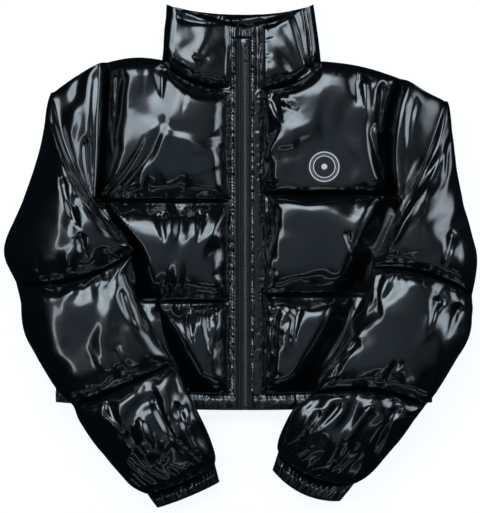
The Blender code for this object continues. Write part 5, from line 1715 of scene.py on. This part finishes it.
class JACKET_OT_slider(bpy.types.Operator):
    """Builds the slider and the pull tab that turns on it"""

    bl_idname = "jacket.slider"
    bl_label = "Slider"

    def execute(self, context):
        colour = tuple(context.scene.jacket_zip.metal_colour)
        metal = moulded("slider_metal", colour, 0.16, metallic=0.9, grain=0.02, wear=0.3)
        outline = [(-x, y) for x, y in PLATE_SIDE[:1]] + PLATE_SIDE + [(-x, y) for x, y in PLATE_SIDE[:0:-1]]
        outline = np.array(outline) + (ZIP_X, SLIDER_Y)
        plate = bevelled(mesh_piece("slider_body", *prism(outline, PLATE_LOW, PLATE_HIGH, 2)), 0.5)
        dressed(plate, metal, ["zip_slider"])
        for side, name in ((-1, "right"), (1, "left")):
            low, high = sorted(ZIP_X + side * x for x in FLANGE_X)
            bottom, top = FLANGE_Z
            flange = [(low, bottom), (high, bottom), (high, top), (low, top)]
            rail = prism(flange, SLIDER_Y + FLANGE_Y[0], SLIDER_Y + FLANGE_Y[1], 1)
            rail = bevelled(mesh_piece(f"slider_flange_{name}", *rail), 0.3)
            dressed(rail, metal)
        arch = [(-y, z) for y, z in BRIDGE_OVER] + BRIDGE_OVER[::-1]
        arch += BRIDGE_UNDER + [(-y, z) for y, z in BRIDGE_UNDER[::-1]]
        arch = np.array(arch) + (SLIDER_Y, 0)
        bridge = mesh_piece("slider_bridge", *prism(arch, ZIP_X - BRIDGE_HALF, ZIP_X + BRIDGE_HALF, 0))
        dressed(bevelled(bridge, 0.35), metal)
        self.pull(metal)
        return {"FINISHED"}

    def pull(self, metal):
        """A tapered tab with an eye at its upper end and a long slot, tilted a little."""
        outer = [(-x, y) for x, y in TAB_SIDE[:1]] + TAB_SIDE + [(-x, y) for x, y in TAB_SIDE[:0:-1]]
        tab = mesh_piece("pull_tab", *prism(np.array(outer), -TAB_HALF, TAB_HALF, 2))
        for name, hole in TAB_HOLES.items():
            cutter = mesh_piece(name, *prism(np.array(hole), -5 * TAB_HALF, 5 * TAB_HALF, 2))
            cut = tab.modifiers.new(name, "BOOLEAN")
            cut.operation = "DIFFERENCE"
            cut.object = cutter
            graph = bpy.context.evaluated_depsgraph_get()
            shaped = bpy.data.meshes.new_from_object(tab.evaluated_get(graph))
            tab.modifiers.clear()
            tab.data = shaped
            bpy.data.objects.remove(cutter)
        bevelled(tab, 0.3)
        rails = []
        turn = np.linspace(0, math.pi, 9)
        for x in (-RAIL_X, RAIL_X):
            arch = np.stack([x - RAIL_HALF * np.cos(turn), 0.7 + RAIL_HIGH * np.sin(turn)], axis=1)
            rails.append(prism(arch, *RAIL_RUN, 1))
        ridge = mesh_piece("pull_rails", *joined(*rails), 50)
        for piece in (tab, ridge):
            self.tilted(piece, math.radians(TAB_TILT))
        dressed(tab, metal, ["zip_pull"], body=PULL)
        dressed(ridge, metal, body=PULL)

    def tilted(self, tab, tilt):
        """Sets a flat piece of the tab on the pin, its lower end a little down."""
        count = len(tab.data.vertices)
        points = np.zeros(count * 3)
        tab.data.vertices.foreach_get("co", points)
        points = points.reshape(-1, 3) / MM + (*PLAN_CENTRE, 0)
        y, z = points[:, 1].copy(), points[:, 2].copy()
        points[:, 1] = SLIDER_Y + y * math.cos(tilt) - z * math.sin(tilt)
        points[:, 2] = PIVOT_Z + y * math.sin(tilt) + z * math.cos(tilt)
        points[:, 0] += ZIP_X
        tab.data.vertices.foreach_set("co", to_frame(points).ravel())
        tab.data.update()


class JACKET_OT_badge(bpy.types.Operator):
    """Builds the round rubber patch with plain rings and ticks"""

    bl_idname = "jacket.badge"
    bl_label = "Badge"

    def execute(self, context):
        look = context.scene.jacket_badge
        rubber = moulded("badge_rubber", tuple(look.base_colour), 0.42, grain=0.05, wear=0.06, shine=0.12)
        pale = moulded("badge_lines", tuple(look.line_colour), 0.5, grain=0.05, wear=0.2)
        centre = (BADGE_X, BADGE_Y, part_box("badge")[0].z / MM)
        disc = [(BADGE_RADIUS - inwards, height) for inwards, height in BADGE_RIM] + BADGE_FACE
        piece = mesh_piece("badge_disc", *turned(disc, centre), 35)
        dressed(piece, rubber, ["badge"])
        for name, (radius, width) in RINGS.items():
            ring = [(radius - width, 1.7), (radius - 0.6 * width, 2.25), (radius + 0.6 * width, 2.25)]
            ring += [(radius + width, 1.7)]
            points, faces = turned(ring, centre)
            count = len(points) // 4
            last, first = 3 * count + np.arange(count), np.arange(count)
            under = np.stack([last, np.roll(last, -1), np.roll(first, -1), first], axis=1)
            faces = [*faces[: 3 * count], *under.tolist()]
            piece = mesh_piece(name, points[: 4 * count], faces, 35)
            dressed(piece, pale)
        turn = np.arange(look.ticks) * 2 * math.pi / look.ticks
        x, y = centre[0] + TICK_CIRCLE * np.cos(turn), centre[1] + TICK_CIRCLE * np.sin(turn)
        places = np.stack([x, y, np.full(look.ticks, centre[2])], axis=1)
        ticks = repeated(*prism(np.array(TICK), 1.6, 2.15, 2), places, turn)
        dressed(mesh_piece("badge_ticks", *ticks, 30), pale)
        piece = mesh_piece("badge_stud", *turned(STUD, centre, 48), 35)
        dressed(piece, pale)
        return {"FINISHED"}


class JACKET_OT_sewing(bpy.types.Operator):
    """Sews the quilting, the placket and the zip tapes"""

    bl_idname = "jacket.sewing"
    bl_label = "Sewing"

    def execute(self, context):
        runs = []
        for half in BODY.values():
            edge = ZIP_X + half["side"] * (ZIP_GAP / 2 + PIPING_WIDTH)
            x = np.linspace(edge, outer_x(half, 0.0), 120)
            for level in half["quilt_y"]:
                runs.append(line_of(x, level, FRONT_INSIDE + QUILT_THICK + 0.15))
            y = np.linspace(ZIP_BOTTOM + 26, NECK_Y - 2, 200)
            runs.append(line_of(edge, y, FRONT_INSIDE + QUILT_THICK + 0.1))
        shapes = [stitches(run, *QUILT_STITCH) for run in runs]
        piece = mesh_piece("quilting_threads", *joined(*shapes), 60)
        dressed(piece, thread_finish())
        y = np.linspace(ZIP_BOTTOM + 4, ZIP_TOP - 16, 300)
        lines = [line_of(ZIP_X + inset, y, TAPE_TOP + 0.2) for inset in TAPE_STITCH_X]
        pale = woven("tape_thread", (0.06, 0.065, 0.07), (0.20, 0.21, 0.22), 0.35, 2600.0, 0.6, 0.05)
        shapes = [stitches(line, *TAPE_STITCH) for line in lines]
        piece = mesh_piece("tape_threads", *joined(*shapes), 60)
        dressed(piece, pale)
        return {"FINISHED"}


class JACKET_OT_stage(bpy.types.Operator):
    """Sets out the floor, the lights and the camera"""

    bl_idname = "jacket.stage"
    bl_label = "Stage"

    def execute(self, context):
        look = context.scene.jacket_stage
        scene = context.scene
        scene.view_settings.view_transform = "Standard"
        made = bpy.data.materials.new("pale_floor")
        made.use_nodes = True
        tree = made.node_tree
        shader = tree.nodes["Principled BSDF"]
        shader.inputs["Base Color"].default_value = (0.25, 0.25, 0.25, 1)
        shader.inputs["Roughness"].default_value = 1.0
        shader.inputs["Emission Color"].default_value = (*look.floor_colour, 1)
        shader.inputs["Emission Strength"].default_value = FLOOR_GLOW
        floor = self.plane("floor", FLOOR_SIZE, FLOOR_SIZE, made)
        floor.location.z = -FLOOR_BELOW
        floor.visible_glossy = False
        for name, (place, size, light, share, colour, soft) in PANELS.items():
            self.softbox(name, place, size, getattr(look, light) * share, colour, soft)
        self.sky(scene, look.fill)
        camera = bpy.data.cameras.new("camera")
        camera.lens = look.lens * 1000
        camera.sensor_width = SENSOR
        camera.clip_start, camera.clip_end = 0.1, 30.0
        holder = bpy.data.objects.new("camera", camera)
        holder.location = (-0.0006, -0.0001, FOCUS_HEIGHT + SHOWN_WIDTH * camera.lens / SENSOR)
        scene.collection.objects.link(holder)
        scene.camera = holder
        return {"FINISHED"}

    def sky(self, scene, strength):
        """Even light on rough surfaces, near black in reflections, and a pale ground for the camera."""
        world = bpy.data.worlds.new("studio")
        world.use_nodes = True
        scene.world = world
        tree = world.node_tree
        rays = add(tree, "ShaderNodeLightPath")
        fill = (strength, strength, strength, 1)
        shades = {0: rays.outputs["Is Diffuse Ray"], 6: (0.003, 0.006, 0.009, 1), 7: fill}
        lit = add(tree, "ShaderNodeMix", shades, data_type="RGBA")
        shades = {0: rays.outputs["Is Camera Ray"], 6: lit.outputs[2], 7: (0.86, 0.88, 0.90, 1)}
        seen = add(tree, "ShaderNodeMix", shades, data_type="RGBA")
        tree.links.new(seen.outputs[2], tree.nodes["Background"].inputs["Color"])

    def plane(self, name, width, depth, material):
        """A flat sheet at the origin."""
        mesh = bpy.data.meshes.new(name)
        corners = [(a * width / 2, b * depth / 2, 0) for a, b in ((-1, -1), (1, -1), (1, 1), (-1, 1))]
        mesh.from_pydata(corners, [], [(0, 1, 2, 3)])
        mesh.materials.append(material)
        sheet = bpy.data.objects.new(name, mesh)
        bpy.context.scene.collection.objects.link(sheet)
        return sheet

    def softbox(self, name, place, size, strength, colour, soft):
        """A glowing panel that faces the jacket's middle, fading out over that share of its half width."""
        made = bpy.data.materials.new(name)
        made.use_nodes = True
        tree = made.node_tree
        tree.nodes.remove(tree.nodes["Principled BSDF"])
        at = add(tree, "ShaderNodeTexCoord").outputs["Generated"]
        values = {"From Min": 0.3, "From Max": 0.7, "To Min": 0.72, "To Max": 1.2}
        uneven = add(tree, "ShaderNodeMapRange", {"Value": noise(tree, at, 2.2, 2.0), **values})
        split = add(tree, "ShaderNodeSeparateXYZ", {0: at})
        glow = uneven.outputs[0]
        for axis in (0, 1):
            off = maths(tree, "ABSOLUTE", maths(tree, "SUBTRACT", split.outputs[axis], 0.5))
            values = {"From Min": 0.5 - 0.5 * soft, "From Max": 0.5, "To Min": 1.0, "To Max": 0.0}
            values["Value"] = off
            fade = add(tree, "ShaderNodeMapRange", values, interpolation_type="SMOOTHSTEP")
            glow = maths(tree, "MULTIPLY", glow, fade.outputs[0])
        glow = maths(tree, "MULTIPLY", glow, strength)
        light = add(tree, "ShaderNodeEmission", {"Color": (*colour, 1), "Strength": glow})
        tree.links.new(light.outputs[0], tree.nodes["Material Output"].inputs["Surface"])
        panel = self.plane(name, *size, made)
        panel.location = place
        aim = np.array(PANEL_AIM) - np.array(place)
        tip = math.atan2(math.hypot(aim[0], aim[1]), -aim[2])
        panel.rotation_euler = (tip, 0, math.atan2(aim[1], aim[0]) - math.pi / 2)
        panel.visible_camera = False
        panel.visible_shadow = False
        return panel


class JACKET_PT_panel(bpy.types.Panel):
    """Lists the jacket's pieces and their settings"""

    bl_label = "Puffer Jacket"
    bl_idname = "JACKET_PT_panel"
    bl_space_type = "VIEW_3D"
    bl_region_type = "UI"
    bl_category = "Puffer Jacket"

    def draw(self, context):
        scene = context.scene
        for group in SETTINGS:
            box = self.layout.box()
            holder = getattr(scene, group)
            for label in holder.__annotations__:
                box.prop(holder, label)
        for operator in OPERATORS:
            self.layout.operator(operator.bl_idname)


OPERATORS = (
    JACKET_OT_stage,
    JACKET_OT_back,
    JACKET_OT_fronts,
    JACKET_OT_sleeves,
    JACKET_OT_cuffs,
    JACKET_OT_hem,
    JACKET_OT_collar,
    JACKET_OT_zip,
    JACKET_OT_slider,
    JACKET_OT_badge,
    JACKET_OT_sewing,
)
SETTINGS = {
    "jacket_shell": JacketShell,
    "jacket_zip": JacketZip,
    "jacket_badge": JacketBadge,
    "jacket_stage": JacketStage,
}


def register():
    for name, group in SETTINGS.items():
        bpy.utils.register_class(group)
        setattr(bpy.types.Scene, name, PointerProperty(type=group))
    for operator in OPERATORS:
        bpy.utils.register_class(operator)
    bpy.utils.register_class(JACKET_PT_panel)


def unregister():
    bpy.utils.unregister_class(JACKET_PT_panel)
    for operator in reversed(OPERATORS):
        bpy.utils.unregister_class(operator)
    for name, group in SETTINGS.items():
        delattr(bpy.types.Scene, name)
        bpy.utils.unregister_class(group)


def main():
    register()
    for operator in OPERATORS:
        group, name = operator.bl_idname.split(".")
        getattr(getattr(bpy.ops, group), name)()


if __name__ == "__main__":
    main()
